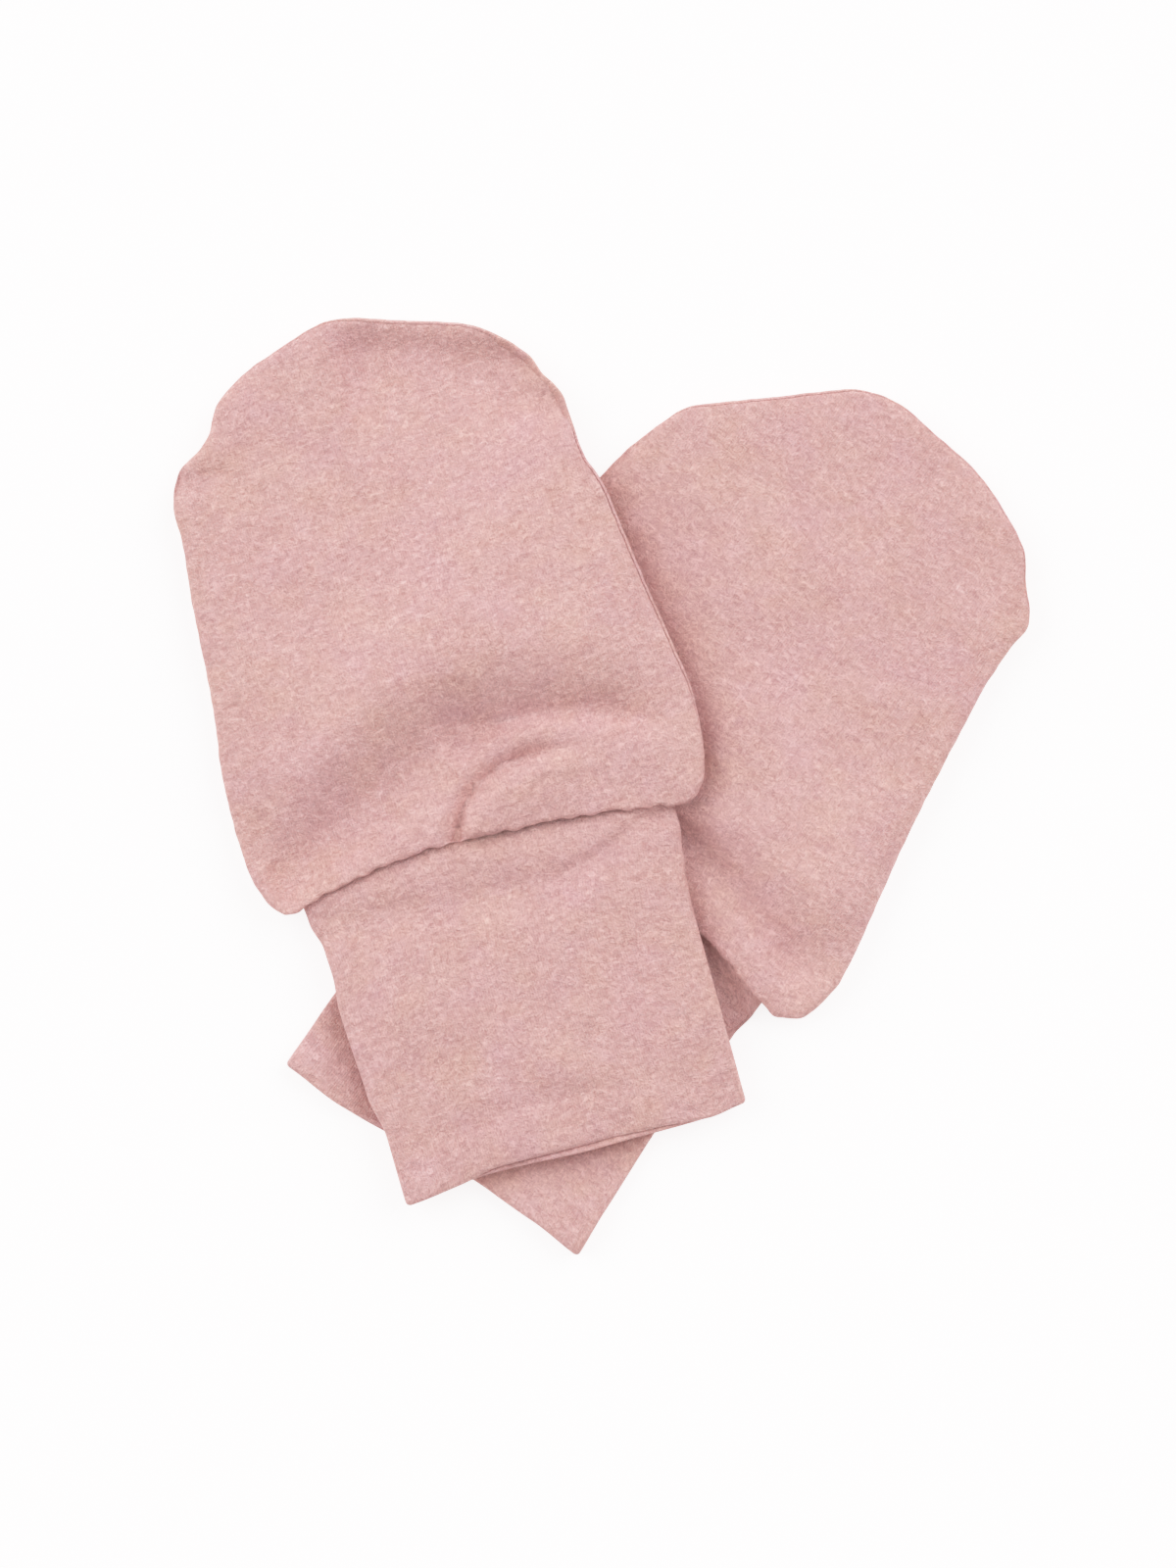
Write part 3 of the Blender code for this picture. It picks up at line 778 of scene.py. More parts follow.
def front_rings(mitten, sizes):
    """The hand front: its outer side from the middle to the seam, then its inner side back to the middle."""
    edge = HandEdge(mitten, sizes)
    full, gap = sizes.edge_radius / MM, 0.5 * sizes.seam_gap / MM
    wall = sizes.panel_wall / MM + (LIP_WALL - sizes.panel_wall / MM) * edge.lip
    overhang = lip_table(mitten, edge.loop[:, 0], "overhang") * edge.lip
    radius = full + (LIP_RADIUS - full) * edge.lip
    rise = (LIP_RISE + lip_table(mitten, edge.loop[:, 0], "rise")) * edge.lip
    groove = sizes.seam_groove / MM * (1.0 - 0.5 * edge.lip)
    rows = []

    def relief(points, depth):
        """Height of the puckers and the slow unevenness."""
        return edge.puckers(depth) + ripple(points, mitten.seed, sizes) * ease(depth / RIPPLE_FADE)

    def roll(angle, out, up, fine):
        """One ring on the rolled edge, from its section: where it lies, and its place on the cloth."""
        reach = radius - out
        shift = (overhang - edge.waver) * (1.0 - reach / full)
        points = edge.inset(reach - shift)
        depth = np.maximum(reach, 0.0)
        swell = sizes.swell / MM * (1.0 - (1.0 - depth / SWELL_REACH) ** 2)
        height = 2.0 * full + rise - radius + up + swell + fold_rise(mitten.hand_folds, points, depth, sizes)
        cloth = edge.inset(radius - radius * (0.5 * math.pi - angle))
        rows.append((ring_of(points, height + relief(points, depth) * fine), cloth))

    def flat(share, under, fine):
        """One ring on the panel inside the roll, this far under its outer side."""
        points = towards_middle(edge.inset(radius), share)
        depth = np.maximum(soft_depth(points, edge.outline), 0.0)
        height = hand_crest(mitten, points, depth, sizes) + fold_rise(mitten.hand_folds, points, depth, sizes)
        height = lying(height, LAID_WALLS * sizes.panel_wall / MM)
        rows.append((ring_of(points, height - under + relief(points, depth) * fine), points))

    for share in np.linspace(RIM_SHARE, 0.0, sizes.rings) ** RIM_CROWDING:
        flat(share, 0.0, 1.0)
    rim = len(rows) - 1
    start = edge.seam + gap / radius
    shoulder = start + groove / radius
    for step in np.linspace(1.0, 0.0, ROLL_STEPS)[1:]:
        angle = shoulder + (0.5 * math.pi - shoulder) * step
        out, up = roll_section(angle)
        roll(angle, radius * out, radius * up, 1.0)
    for under, way in reversed(groove_steps(1.0)[:-1]):
        angle = start + groove * way / radius
        out, up = roll_section(angle)
        sunk = groove * under
        roll(angle, radius * out - sunk * np.cos(angle), radius * up - sunk * np.sin(angle), 1.0)
    lay_out(edge, rows, rim, radius)
    for step in np.linspace(0.0, 1.0, INNER_ROLL_STEPS):
        angle = start + (0.5 * math.pi - start) * step
        roll(angle, (radius - wall) * np.cos(angle), (radius - wall) * np.sin(angle), 0.0)
    for share in np.linspace(0.0, INNER_SHARE, INNER_RINGS)[1:]:
        flat(share, wall + (sizes.panel_wall / MM - wall) * ease(share / LIP_WALL_SHARE), 0.0)
    return np.array([ring for ring, _ in rows]), np.array([cloth for _, cloth in rows])


def back_rings(mitten, sizes):
    """The hand back: its underside from the middle to the seam, then its inner side back to the middle."""
    edge = HandEdge(mitten, sizes)
    radius, wall, gap = sizes.edge_radius / MM, sizes.panel_wall / MM, 0.5 * sizes.seam_gap / MM
    groove = sizes.seam_groove / MM
    end = seam_angle(mitten, edge.loop) - gap / radius
    level = edge.lip
    rows = []

    def roll(share, under, rim, round_off):
        """One ring on the roll, at a share of the way from the underside to the seam; level at the mouth."""
        angle = -0.5 * math.pi + (end - rim / radius + 0.5 * math.pi) * share
        out, up = roll_section(angle)
        out = out * (1.0 - round_off) + np.cos(angle) * round_off
        up = up * (1.0 - round_off) + np.sin(angle) * round_off
        rolled = radius - radius * out + under * np.cos(angle) + edge.waver * share
        laid = BACK_INSET + (BACK_BORDER - BACK_INSET) * (1.0 - share) + rim * share
        reach = rolled + (laid - rolled) * level
        height = (radius + radius * up - under * np.sin(angle)) * (1.0 - level) + under * level
        points = edge.inset(reach)
        relief = fold_rise(mitten.back_folds, points, np.maximum(reach - radius, 0.0), sizes)
        rows.append((ring_of(points, height + relief), edge.inset(radius - radius * (0.5 * math.pi + angle))))

    def flat(share, height):
        """One ring on the panel inside the roll, at this height."""
        points = towards_middle(edge.inset(BACK_BORDER * level + radius * (1.0 - level)), share)
        depth = np.maximum(soft_depth(points, edge.outline) - radius, 0.0)
        rows.append((ring_of(points, height + fold_rise(mitten.back_folds, points, depth, sizes)), points))

    for share in np.linspace(RIM_SHARE, 0.0, sizes.rings - FEWER_BACK_RINGS) ** RIM_CROWDING:
        flat(share, 0.0)
    rim = len(rows) - 1
    for share in np.linspace(0.0, 1.0, ROLL_STEPS)[1:]:
        roll(share, 0.0, groove, 0.0)
    for under, way in reversed(groove_steps(1.0)[:-1]):
        roll(1.0, groove * under, groove * way, 0.0)
    lay_out(edge, rows, rim, BACK_BORDER * level + radius * (1.0 - level))
    for share in np.linspace(1.0, 0.0, INNER_ROLL_STEPS):
        roll(share, wall, 0.0, 1.0)
    for share in np.linspace(0.0, INNER_SHARE, INNER_RINGS)[1:]:
        flat(share, wall)
    return np.array([ring for ring, _ in rows]), np.array([cloth for _, cloth in rows])


def cuff_height(mitten, points, sizes):
    """Height of the cuff's upper side: its valley at the hand seam, the allowance's ridge and its folds."""
    across, along = points[:, 0], points[:, 1]
    below = mouth_line(mitten, across) - lip_table(mitten, across, "overhang") - along
    crown = CUFF_CROWN * (1.0 - np.clip(np.abs(across) / MOUTH_HALF, 0.0, 1.0) ** 2)
    folds = fold_rise(mitten.cuff_folds, points, np.ones(len(points)), sizes)
    ridge = ALLOWANCE_RISE * np.exp(-(((below - ALLOWANCE_AT) / ALLOWANCE_WIDTH) ** 2))
    slow = ripple(points, mitten.seed + 2, sizes) * ease(below / CUFF_RIPPLE_FADE)
    hem = HEM_DROP * np.exp(-((along / HEM_REACH) ** 2))
    body = sizes.cuff_height / MM + crown + folds + ridge + slow - hem
    out_of_neck = ease(0.5 + 0.5 * (below + NECK_SHIFT) / NECK_REACH) ** NECK_CURVE
    return NECK_HEIGHT + (body - NECK_HEIGHT) * out_of_neck


def cuff_section():
    """Steps round the flattened tube, from the middle of its underside: how far to a side, and the angle."""
    side = np.linspace(-0.5 * math.pi, 0.5 * math.pi, CUFF_SIDE_POINTS)
    top = np.linspace(1.0, -1.0, CUFF_TOP_POINTS + 2)[1:-1]
    under = np.linspace(-1.0, 1.0, CUFF_UNDER_POINTS + 2)[1:-1]
    half = len(under) // 2
    spread = np.concatenate([under[half:], np.ones(len(side)), top, -np.ones(len(side)), under[:half]])
    low, high = np.full(len(under), -0.5 * math.pi), np.full(len(top), 0.5 * math.pi)
    angle = np.concatenate([low[half:], side, high, side + math.pi, low[:half]])
    return spread, angle


def cuff_ring(mitten, along_share, out, under, sizes):
    """One ring round the cuff, this far under its outer side and this far out past the wrist fold's line."""
    spread, angle = cuff_section()
    out_share, up_share = roll_section(angle)
    upper = ease(0.5 + 0.5 * np.sin(angle))
    top = mitten.mouth.ends + CUFF_TUCK
    left, right = cuff_sides(mitten, np.array([along_share * top]))
    middle, half = 0.5 * (left + right), 0.5 * (right - left)
    radius = np.full(len(angle), 0.5 * sizes.cuff_height / MM)
    for _ in range(2):
        thin = np.minimum(under, CUFF_THINNEST * radius)
        across = middle + spread * (half - radius) + radius * out_share - thin * np.cos(angle)
        fold = line_at(mitten.hem, across)
        tucked = line_at(mitten.rear_fold, across)
        hem = fold + tucked * upper
        neck = mouth_line(mitten, across) + CUFF_TUCK
        along = hem + along_share * (neck - hem) - out
        points = np.column_stack([across, along])
        height = cuff_height(mitten, points, sizes)
        radius = 0.5 * height
    curl = REAR_CURL * (1.0 - upper) * np.exp(-(((along - hem) / HEM_REACH) ** 2)) * np.minimum(tucked, 1.0)
    return np.column_stack([points, radius + radius * up_share - thin * np.sin(angle) + curl])


def cuff_rings(mitten, sizes):
    """The cuff: its outer side from the hand seam to the wrist fold, round the fold, and back up inside."""
    wall = sizes.cuff_wall / MM
    length = mitten.mouth.ends + CUFF_TUCK
    first = 0.5 * wall / length
    spacing = np.linspace(0.0, 1.0, sizes.cuff_rings)
    crowded = 1.0 - np.cos(0.5 * math.pi * spacing)
    shares = 1.0 - (1.0 - first) * (CUFF_EVENNESS * spacing + (1.0 - CUFF_EVENNESS) * crowded)
    rows = [(share, 0.0, 0.0, share * length) for share in shares]
    for turn in np.linspace(0.0, math.pi, CUFF_FOLD_STEPS)[1:]:
        out, under = 0.5 * wall * math.sin(turn), 0.5 * wall * (1.0 - math.cos(turn))
        rows.append((first, out, under, first * length - 0.5 * wall * turn))
    turned = first * length - 0.5 * wall * math.pi
    for share in np.linspace(first, 1.0, CUFF_INNER_RINGS)[1:]:
        rows.append((share, 0.0, wall, turned - (share - first) * length))
    rings = np.array([cuff_ring(mitten, share, out, under, sizes) for share, out, under, _ in rows])
    round_it = np.linalg.norm(np.roll(rings, -1, axis=1) - rings, axis=2)
    girth = round_it[: sizes.cuff_rings].sum(axis=1).mean()
    way = np.concatenate([[0.0], np.cumsum(round_it[sizes.cuff_rings // 2])])
    way *= girth / way[-1]
    cloth = np.array([np.column_stack([way, np.full(len(way), down)]) for *_, down in rows])
    return rings, cloth


def shell_mesh(name, rings, cloth, middles=None):
    """A closed shell through rings of equal count: closed at two middle points, or round on itself."""
    count = rings.shape[1]
    places = rings.reshape(-1, 3)
    if cloth.shape[1] == count:
        cloth = np.concatenate([cloth, cloth[:, :1]], axis=1)
    corners, map_places = [], []
    pairs = len(rings) - (1 if middles is not None else 0)
    index = np.arange(len(rings) * count).reshape(len(rings), count)
    for row in range(pairs):
        below = (row + 1) % len(rings)
        a, b = index[row], index[below]
        corners.append(np.column_stack([a, b, np.roll(b, -1), np.roll(a, -1)]))
        quad = [cloth[row, :-1], cloth[below, :-1], cloth[below, 1:], cloth[row, 1:]]
        map_places.append(np.stack(quad, axis=1))
    quads = np.concatenate(corners)
    quad_map = np.concatenate(map_places)
    faces = quads.tolist()
    uv = [quad_map.reshape(-1, 2)]
    if middles is not None:
        tips = len(places) + np.arange(2)
        places = np.vstack([places, middles[0]])
        for tip, row, turned in ((tips[0], 0, False), (tips[1], len(rings) - 1, True)):
            a, b = index[row], np.roll(index[row], -1)
            centre = np.broadcast_to(middles[1], (count, 2))
            fan = [(a, cloth[row, :-1]), (b, cloth[row, 1:]), (np.full(count, tip), centre)]
            fan = fan[::-1] if turned else fan
            faces += np.column_stack([corner for corner, _ in fan]).tolist()
            uv.append(np.stack([place for _, place in fan], axis=1).reshape(-1, 2))
    mesh = bpy.data.meshes.new(name)
    mesh.from_pydata((places * MM).tolist(), [], faces)
    layer = mesh.uv_layers.new(name=CLOTH_MAP)
    layer.data.foreach_set("uv", np.concatenate(uv).astype(np.float32).ravel())
    a, b, c, d = (places[quads[:, k]] for k in range(4))
    volume = (np.einsum("ij,ij->i", a, np.cross(b, c)) + np.einsum("ij,ij->i", a, np.cross(c, d))).sum()
    if volume < 0.0:
        mesh.flip_normals()
    mesh.shade_smooth()
    return mesh


def dress(mesh, mitten, part, node, material):
    """Makes a shell a piece of the mitten: it stands for its solid, which it hides, and takes the given
    material.
    """
    piece = bpy.data.objects.new(f"{mitten.name}_{part}", mesh)
    bpy.context.scene.collection.objects.link(piece)
    mesh.materials.append(material)
    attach(piece, "root")
    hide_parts(f"{mitten.name}_{node}")
    return piece


def add_node(tree, kind, inputs=None, **settings):
    """Adds a shader node with its settings; an input is a value, or a socket to link from."""
    node = tree.nodes.new(kind)
    for name, value in settings.items():
        setattr(node, name, value)
    for name, value in (inputs or {}).items():
        if isinstance(value, bpy.types.NodeSocket):
            tree.links.new(value, node.inputs[name])
        else:
            node.inputs[name].default_value = value
    return node


def maths(tree, operation, *values):
    """One sum on numbers or sockets; gives the output socket."""
    return add_node(tree, "ShaderNodeMath", dict(enumerate(values)), operation=operation).outputs[0]


def noise(tree, vector, scale, detail=2.0, roughness=0.5, distortion=0.0):
    """Smooth noise over the cloth's coordinates."""
    inputs = {"Vector": vector, "Scale": scale, "Detail": detail}
    inputs |= {"Roughness": roughness, "Distortion": distortion}
    return add_node(tree, "ShaderNodeTexNoise", inputs, noise_dimensions="3D").outputs["Fac"]


def stretched(tree, vector, across, along, turn=0.0):
    """The cloth's coordinates, scaled along each way and turned."""
    inputs = {"Vector": vector, "Scale": (across, along, 1.0), "Rotation": (0.0, 0.0, turn)}
    return add_node(tree, "ShaderNodeMapping", inputs, vector_type="TEXTURE").outputs["Vector"]


def new_group(name, inputs, outputs):
    """An empty shader node group with named sockets."""
    tree = bpy.data.node_groups.new(name, "ShaderNodeTree")
    for socket, kind, value in inputs:
        made = tree.interface.new_socket(name=socket, in_out="INPUT", socket_type=kind)
        if value is not None:
            made.default_value = value
    for socket, kind in outputs:
        tree.interface.new_socket(name=socket, in_out="OUTPUT", socket_type=kind)
    entry = tree.nodes.new("NodeGroupInput")
    result = tree.nodes.new("NodeGroupOutput")
    return tree, entry.outputs, result.inputs


def jersey_knit():
    """Columns of V stitches along the cloth: their height, and the valleys between the columns."""
    name = "Jersey knit"
    if name in bpy.data.node_groups:
        return bpy.data.node_groups[name]
    tree, given, result = new_group(
        name,
        (
            ("Cloth", "NodeSocketVector", None),
            ("Wale Width", "NodeSocketFloat", 0.83),
            ("Course Height", "NodeSocketFloat", 0.64),
            ("Wander", "NodeSocketFloat", 0.5),
            ("Slant", "NodeSocketFloat", 0.9),
        ),
        (("Height", "NodeSocketFloat"), ("Valley", "NodeSocketFloat")),
    )
    parts = add_node(tree, "ShaderNodeSeparateXYZ", {"Vector": given["Cloth"]}).outputs
    drift = maths(tree, "SUBTRACT", noise(tree, given["Cloth"], 0.22), 0.5)
    drift = maths(tree, "MULTIPLY", drift, given["Wander"])
    column = maths(tree, "ADD", maths(tree, "DIVIDE", parts["X"], given["Wale Width"]), drift)
    row = maths(tree, "ADD", maths(tree, "DIVIDE", parts["Y"], given["Course Height"]), drift)
    side = maths(tree, "MULTIPLY", maths(tree, "PINGPONG", column, 0.5), 2.0)
    off_leg = maths(tree, "SUBTRACT", maths(tree, "MULTIPLY", side, 2.0), 1.0)
    valley = maths(tree, "MULTIPLY", off_leg, off_leg)
    leg = maths(tree, "POWER", maths(tree, "SUBTRACT", 1.0, valley), 0.7)
    slanted = maths(tree, "ADD", row, maths(tree, "MULTIPLY", side, given["Slant"]))
    bead = maths(tree, "SINE", maths(tree, "MULTIPLY", slanted, 2.0 * math.pi))
    bead = maths(tree, "ADD", maths(tree, "MULTIPLY", bead, 0.22), 0.78)
    tree.links.new(maths(tree, "MULTIPLY", leg, bead), result["Height"])
    tree.links.new(valley, result["Valley"])
    return tree


def tinted(tree, factor, ground, tint):
    """One colour laid over another by a mask."""
    mix = add_node(tree, "ShaderNodeMix", data_type="RGBA")
    for socket, value in ((0, factor), (6, ground), (7, tint)):
        tree.links.new(value, mix.inputs[socket])
    return mix.outputs[2]


def patches(tree, vector, low, high, strength):
    """A soft mask of patches, from smooth noise."""
    inputs = {"Value": noise(tree, vector, 1.0, 3.0, 0.6)}
    inputs |= {"From Min": low, "From Max": high, "To Max": strength}
    return add_node(tree, "ShaderNodeMapRange", inputs, interpolation_type="SMOOTHSTEP").outputs[0]


def centred(tree, value, middle, strength):
    """A signal about zero, scaled."""
    return maths(tree, "MULTIPLY", maths(tree, "SUBTRACT", value, middle), strength)


def heather():
    """The jersey's mixed yarn: warm and cool patches, streaks, curled fibres and slow drifts of tone."""
    name = "Heather"
    if name in bpy.data.node_groups:
        return bpy.data.node_groups[name]
    tree, given, result = new_group(
        name,
        (
            ("Cloth", "NodeSocketVector", None),
            ("Colour", "NodeSocketColor", (0.7, 0.44, 0.43, 1.0)),
            ("Warm", "NodeSocketColor", (0.7, 0.44, 0.4, 1.0)),
            ("Cool", "NodeSocketColor", (0.66, 0.42, 0.44, 1.0)),
            ("Patches", "NodeSocketFloat", 0.8),
            ("Streaks", "NodeSocketFloat", 0.30),
            ("Fibres", "NodeSocketFloat", 0.20),
            ("Grain", "NodeSocketFloat", 0.62),
            ("Richness", "NodeSocketFloat", 1.3),
            ("Clouds", "NodeSocketFloat", 0.15),
            ("Drift", "NodeSocketFloat", 0.13),
        ),
        (("Colour", "NodeSocketColor"), ("Fuzz", "NodeSocketFloat")),
    )
    cloth = given["Cloth"]
    warm = patches(tree, stretched(tree, cloth, 9.0, 5.0), 0.42, 0.66, given["Patches"])
    cool = patches(tree, stretched(tree, cloth, 7.0, 5.0, 0.5), 0.45, 0.68, given["Patches"])
    colour = tinted(tree, cool, tinted(tree, warm, given["Colour"], given["Warm"]), given["Cool"])
    streak = noise(tree, stretched(tree, cloth, 2.8, 0.7, 0.05), 1.0, 2.0, 0.55, 0.6)
    curl = noise(tree, stretched(tree, cloth, 1.7, 1.2), 1.0, 1.0, 0.5, 1.6)
    off_curl = maths(tree, "ABSOLUTE", centred(tree, curl, 0.5, 1.0))
    hair = maths(tree, "MAXIMUM", maths(tree, "SUBTRACT", 1.0, maths(tree, "MULTIPLY", off_curl, 13.0)), 0.0)
    grain = noise(tree, stretched(tree, cloth, 0.95, 0.78), 1.0, 2.0, 0.55, 1.2)
    tone = maths(tree, "ADD", 1.0, centred(tree, streak, 0.5, given["Streaks"]))
    tone = maths(tree, "ADD", tone, centred(tree, hair, 0.3, given["Fibres"]))
    tone = maths(tree, "ADD", tone, centred(tree, grain, 0.5, given["Grain"]))
    clouds = noise(tree, stretched(tree, cloth, 17.0, 10.0, 0.3), 1.0, 2.0, 0.5)
    tone = maths(tree, "ADD", tone, centred(tree, clouds, 0.5, given["Clouds"]))
    rich = maths(tree, "POWER", tone, given["Richness"])
    slow = noise(tree, stretched(tree, cloth, 13.0, 18.0, 0.8), 1.0, 3.0, 0.55)
    drift = centred(tree, slow, 0.5, given["Drift"])
    green = maths(tree, "MULTIPLY", rich, maths(tree, "ADD", 1.0, maths(tree, "MULTIPLY", drift, 0.5)))
    blue = maths(tree, "MULTIPLY", rich, maths(tree, "SUBTRACT", 1.0, drift))
    tones = add_node(tree, "ShaderNodeCombineXYZ", {"X": tone, "Y": green, "Z": blue}).outputs["Vector"]
    coloured = add_node(tree, "ShaderNodeVectorMath", {0: colour, 1: tones}, operation="MULTIPLY")
    tree.links.new(coloured.outputs["Vector"], result["Colour"])
    tree.links.new(maths(tree, "ADD", grain, maths(tree, "MULTIPLY", hair, 0.4)), result["Fuzz"])
    return tree


def jersey_material(name, sizes, colours, wander, relief):
    """Brushed pink jersey: heather colour with painted shade in the knit's valleys, V-stitch knit and fibre
    fuzz in its relief, and a soft sheen.
    """
    material = bpy.data.materials.new(name)
    material.use_nodes = True
    tree = material.node_tree
    shader = tree.nodes["Principled BSDF"]
    cloth = add_node(tree, "ShaderNodeUVMap", uv_map=CLOTH_MAP).outputs["UV"]
    knit = add_node(tree, "ShaderNodeGroup", node_tree=jersey_knit())
    tree.links.new(cloth, knit.inputs["Cloth"])
    knit.inputs["Wale Width"].default_value = sizes.wale_width / MM
    knit.inputs["Course Height"].default_value = sizes.course_height / MM
    knit.inputs["Wander"].default_value = wander
    yarn = add_node(tree, "ShaderNodeGroup", node_tree=heather())
    tree.links.new(cloth, yarn.inputs["Cloth"])
    yarn.inputs["Colour"].default_value = (*colours.cloth, 1.0)
    yarn.inputs["Warm"].default_value = (*colours.warm, 1.0)
    yarn.inputs["Cool"].default_value = (*colours.cool, 1.0)
    # Painted shade and light: the base colour is 2 per cent darker in the valleys between the wales and 2 per
    # cent lighter along the wales.
    shade = maths(tree, "SUBTRACT", 1.02, maths(tree, "MULTIPLY", knit.outputs["Valley"], 0.04))
    shaded = {0: yarn.outputs["Colour"], "Scale": shade}
    coloured = add_node(tree, "ShaderNodeVectorMath", shaded, operation="SCALE")
    tree.links.new(coloured.outputs["Vector"], shader.inputs["Base Color"])
    height = maths(tree, "ADD", knit.outputs["Height"], maths(tree, "MULTIPLY", yarn.outputs["Fuzz"], 2.0))
    bump = add_node(tree, "ShaderNodeBump", {"Height": height, "Distance": relief * MM, "Strength": 1.0})
    tree.links.new(bump.outputs["Normal"], shader.inputs["Normal"])
    shader.inputs["Roughness"].default_value = 0.92
    shader.inputs["Specular IOR Level"].default_value = 0.15
    shader.inputs["Sheen Weight"].default_value = 0.12
    shader.inputs["Sheen Roughness"].default_value = 0.5
    shader.inputs["Sheen Tint"].default_value = (1.0, 0.88, 0.86, 1.0)
    shader.inputs["Subsurface Weight"].default_value = 0.12
    shader.inputs["Subsurface Radius"].default_value = (1.0, 0.45, 0.4)
    shader.inputs["Subsurface Scale"].default_value = 0.9 * MM
    return material


def hand_middle(mitten, folds, base, sizes):
    """The middle point of a panel's outer and inner side."""
    point = np.array([HAND_MIDDLE])
    depth = soft_depth(point, hand_outline(mitten, OUTLINE_POINTS))
    rise = fold_rise(folds, point, depth, sizes)[0]
    return [(*HAND_MIDDLE, height + rise) for height in base]


def build_panel(mitten, part, make_rings, folds, base, sizes):
    """One hand panel as a mesh, in its place."""
    rings, cloth = make_rings(mitten, sizes)
    middles = placed(mitten, np.array([hand_middle(mitten, folds, base, sizes)]), sizes)[0]
    return shell_mesh(f"{mitten.name}_{part}", placed(mitten, rings, sizes), cloth, (middles, HAND_MIDDLE))


class MITTENS_OT_hand_fronts(bpy.types.Operator):
    """Build the hand fronts: rolled edges, the lip over the cuff, the main creases and the gathered pouch"""

    bl_idname = "mittens.hand_fronts"
    bl_label = "Hand Fronts"

    def execute(self, context):
        sizes, colours = context.scene.mitten_sizes, context.scene.mitten_colours
        material = jersey_material("hand front jersey", sizes, colours, 0.5, 0.06)
        for mitten in MITTENS:
            point = np.array([HAND_MIDDLE])
            depth = soft_depth(point, hand_outline(mitten, OUTLINE_POINTS))
            top = hand_crest(mitten, point, depth, sizes)[0]
            base = (top + ripple(point, mitten.seed, sizes)[0], top - sizes.panel_wall / MM)
            mesh = build_panel(mitten, "hand_front", front_rings, mitten.hand_folds, base, sizes)
            piece = dress(mesh, mitten, "hand_front", "front", material)
        return {"FINISHED"}


class MITTENS_OT_hand_backs(bpy.types.Operator):
    """Build the hand backs: flat where they rest, rolled up to the seam, one draped over the other"""

    bl_idname = "mittens.hand_backs"
    bl_label = "Hand Backs"

    def execute(self, context):
        sizes, colours = context.scene.mitten_sizes, context.scene.mitten_colours
        material = jersey_material("hand back jersey", sizes, colours, 0.5, 0.06)
        for mitten in MITTENS:
            base = (0.0, sizes.panel_wall / MM)
            mesh = build_panel(mitten, "hand_back", back_rings, mitten.back_folds, base, sizes)
            piece = dress(mesh, mitten, "hand_back", "back", material)
        return {"FINISHED"}


class MITTENS_OT_wrist_cuffs(bpy.types.Operator):
    """Build the wrist cuffs: flattened tubes, folded double at the wrist, raised by the seam at the hand"""

    bl_idname = "mittens.wrist_cuffs"
    bl_label = "Wrist Cuffs"

    def execute(self, context):
        sizes, colours = context.scene.mitten_sizes, context.scene.mitten_colours
        material = jersey_material("cuff jersey", sizes, colours, 0.35, 0.07)
        for mitten in MITTENS:
            rings, cloth = cuff_rings(mitten, sizes)
            mesh = shell_mesh(f"{mitten.name}_wrist_cuff", placed(mitten, rings, sizes), cloth)
            piece = dress(mesh, mitten, "wrist_cuff", "cuff", material)
        return {"FINISHED"}


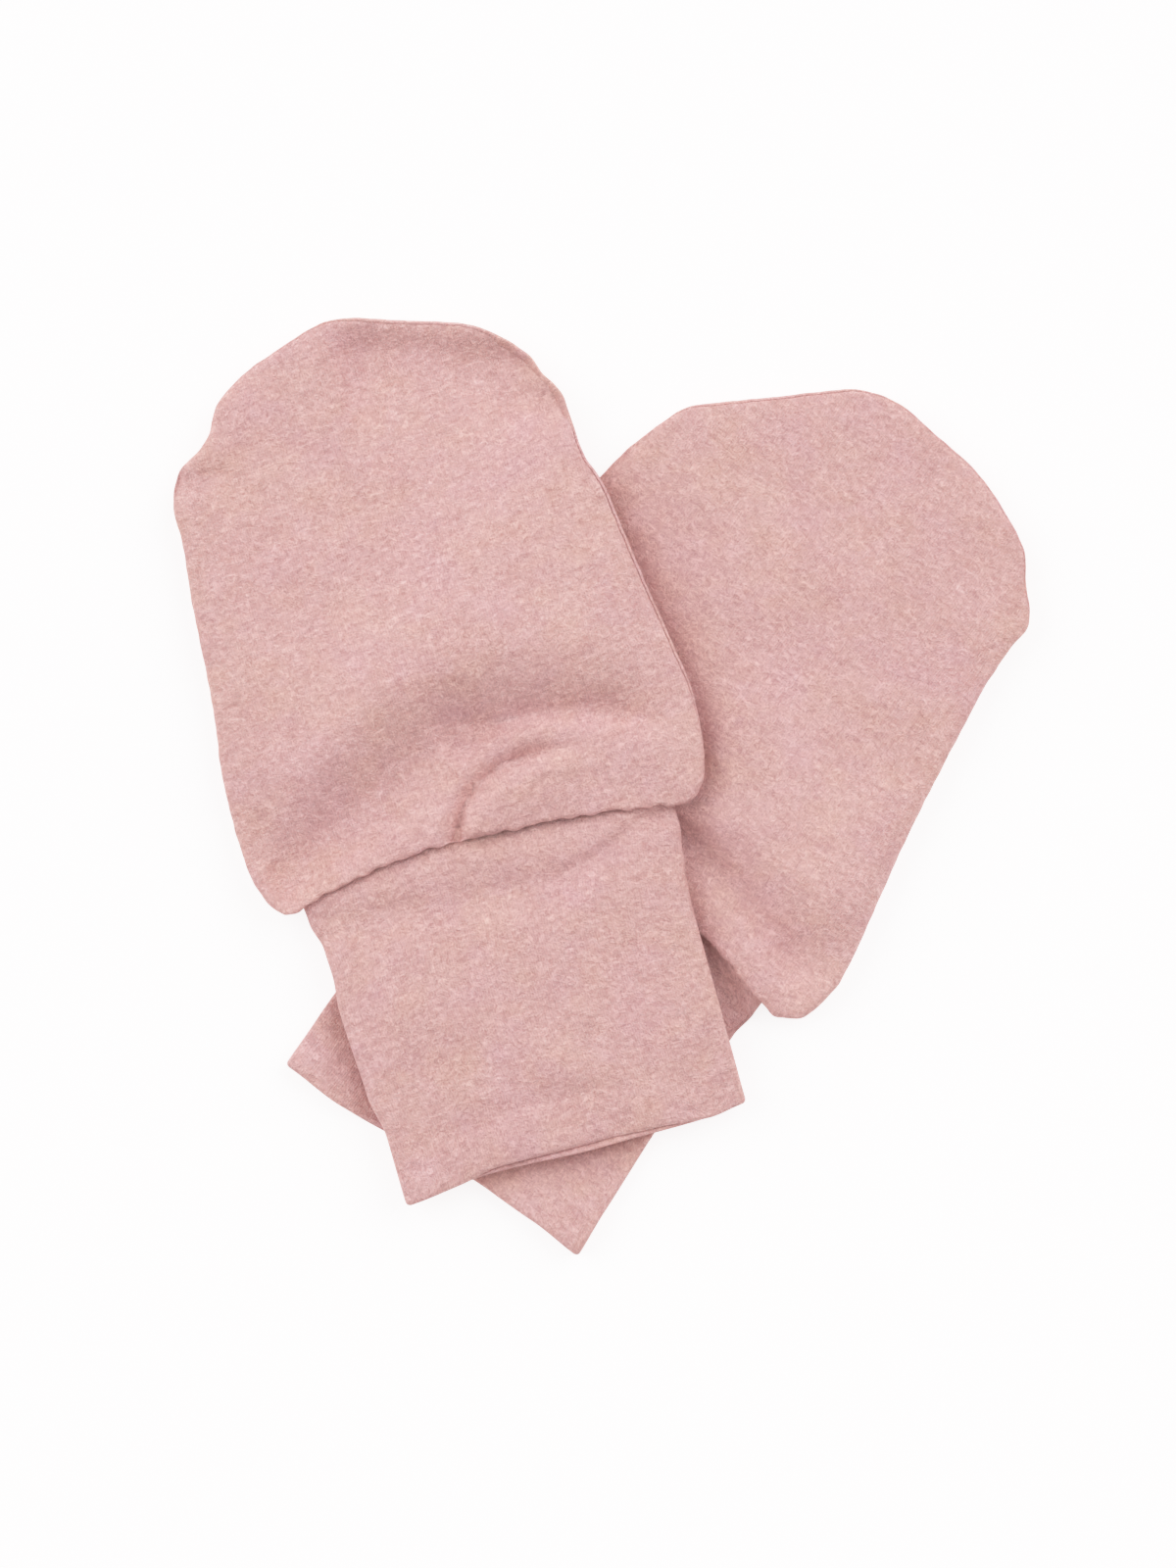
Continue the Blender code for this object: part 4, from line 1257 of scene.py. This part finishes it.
class MITTENS_OT_stage(bpy.types.Operator):
    """Build the stage: a pale floor, two broad soft lights, an even fill, and the camera"""

    bl_idname = "mittens.stage"
    bl_label = "Floor, Light and Camera"

    def execute(self, context):
        scene, colours = context.scene, context.scene.mitten_colours
        floor_mesh = bpy.data.meshes.new("floor")
        corners = [(-1, -1), (1, -1), (1, 1), (-1, 1)]
        floor_mesh.from_pydata([(x * FLOOR_HALF, y * FLOOR_HALF, 0) for x, y in corners], [], [(0, 1, 2, 3)])
        floor = bpy.data.objects.new("floor", floor_mesh)
        floor.location = (0.0, 0.0, -FLOOR_DROP)
        scene.collection.objects.link(floor)
        paint = bpy.data.materials.new("pale floor")
        paint.use_nodes = True
        shader = paint.node_tree.nodes["Principled BSDF"]
        shader.inputs["Base Color"].default_value = (*colours.floor, 1.0)
        shader.inputs["Roughness"].default_value = 1.0
        shader.inputs["Specular IOR Level"].default_value = 0.0
        shader.inputs["Emission Color"].default_value = (1.0, 1.0, 1.0, 1.0)
        shader.inputs["Emission Strength"].default_value = colours.floor_glow
        floor_mesh.materials.append(paint)
        self.light(scene, colours)
        self.develop(scene)
        self.camera(scene)
        return {"FINISHED"}

    def light(self, scene, colours):
        """Two broad soft lights, from the left and the right of the tips, and an even sky."""
        for number, (heading, share) in enumerate(KEYS):
            key = bpy.data.lights.new(f"soft light {number}", "SUN")
            key.angle = math.radians(KEY_SPREAD_DEG)
            key.energy = colours.key_power * share
            lamp = bpy.data.objects.new(f"soft light {number}", key)
            lamp.rotation_euler = (math.radians(90.0 - KEY_HEIGHT_DEG), 0.0, math.radians(heading + 180.0))
            lamp.location = (-0.5, 0.5, 1.0)
            scene.collection.objects.link(lamp)
        world = bpy.data.worlds.new("even light")
        world.use_nodes = True
        world.node_tree.nodes["Background"].inputs["Color"].default_value = (*SKY_COLOUR, 1.0)
        world.node_tree.nodes["Background"].inputs["Strength"].default_value = colours.sky
        scene.world = world

    def develop(self, scene):
        """The response to light: straight up to the middle tones, with a soft shoulder to white."""
        view = scene.view_settings
        view.view_transform = "Standard"
        view.use_curve_mapping = True
        mapping = view.curve_mapping
        mapping.white_level = (WHITE_LEVEL, WHITE_LEVEL, WHITE_LEVEL)
        curve = mapping.curves[3]
        for light, shown in SHOULDER:
            curve.points.new(light / WHITE_LEVEL, shown)
        for point in curve.points:
            point.handle_type = "AUTO" if point.location[0] > SHOULDER[0][0] / WHITE_LEVEL else "VECTOR"
        mapping.update()

    def camera(self, scene):
        """Straight down, with the tips at the top of the view."""
        data = bpy.data.cameras.new("camera")
        data.sensor_width = SENSOR
        data.lens = SENSOR * CAMERA_DISTANCE / VIEW_HEIGHT
        camera = bpy.data.objects.new("camera", data)
        camera.location = (VIEW_MIDDLE[0], VIEW_MIDDLE[1], CAMERA_DISTANCE + VIEW_LEVEL)
        scene.collection.objects.link(camera)
        scene.camera = camera


class MITTENS_PT_sidebar(bpy.types.Panel):
    """Lists the pieces of the mittens and their values."""

    bl_idname = "MITTENS_PT_sidebar"
    bl_label = "Baby Mittens"
    bl_space_type = "VIEW_3D"
    bl_region_type = "UI"
    bl_category = "Mittens"

    def draw(self, context):
        layout = self.layout
        for operator in OPERATORS:
            layout.operator(operator.bl_idname)
        for group in (context.scene.mitten_sizes, context.scene.mitten_colours):
            box = layout.box()
            for name in group.__annotations__:
                box.prop(group, name)


OPERATORS = (MITTENS_OT_hand_fronts, MITTENS_OT_hand_backs, MITTENS_OT_wrist_cuffs, MITTENS_OT_stage)
CLASSES = (MittenSizes, MittenColours, *OPERATORS, MITTENS_PT_sidebar)


def register():
    for cls in CLASSES:
        bpy.utils.register_class(cls)
    bpy.types.Scene.mitten_sizes = PointerProperty(type=MittenSizes)
    bpy.types.Scene.mitten_colours = PointerProperty(type=MittenColours)


def unregister():
    del bpy.types.Scene.mitten_colours
    del bpy.types.Scene.mitten_sizes
    for cls in reversed(CLASSES):
        bpy.utils.unregister_class(cls)


def main():
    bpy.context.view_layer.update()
    register()
    bpy.ops.mittens.hand_backs()
    bpy.ops.mittens.hand_fronts()
    bpy.ops.mittens.wrist_cuffs()
    bpy.ops.mittens.stage()


if __name__ == "__main__":
    main()
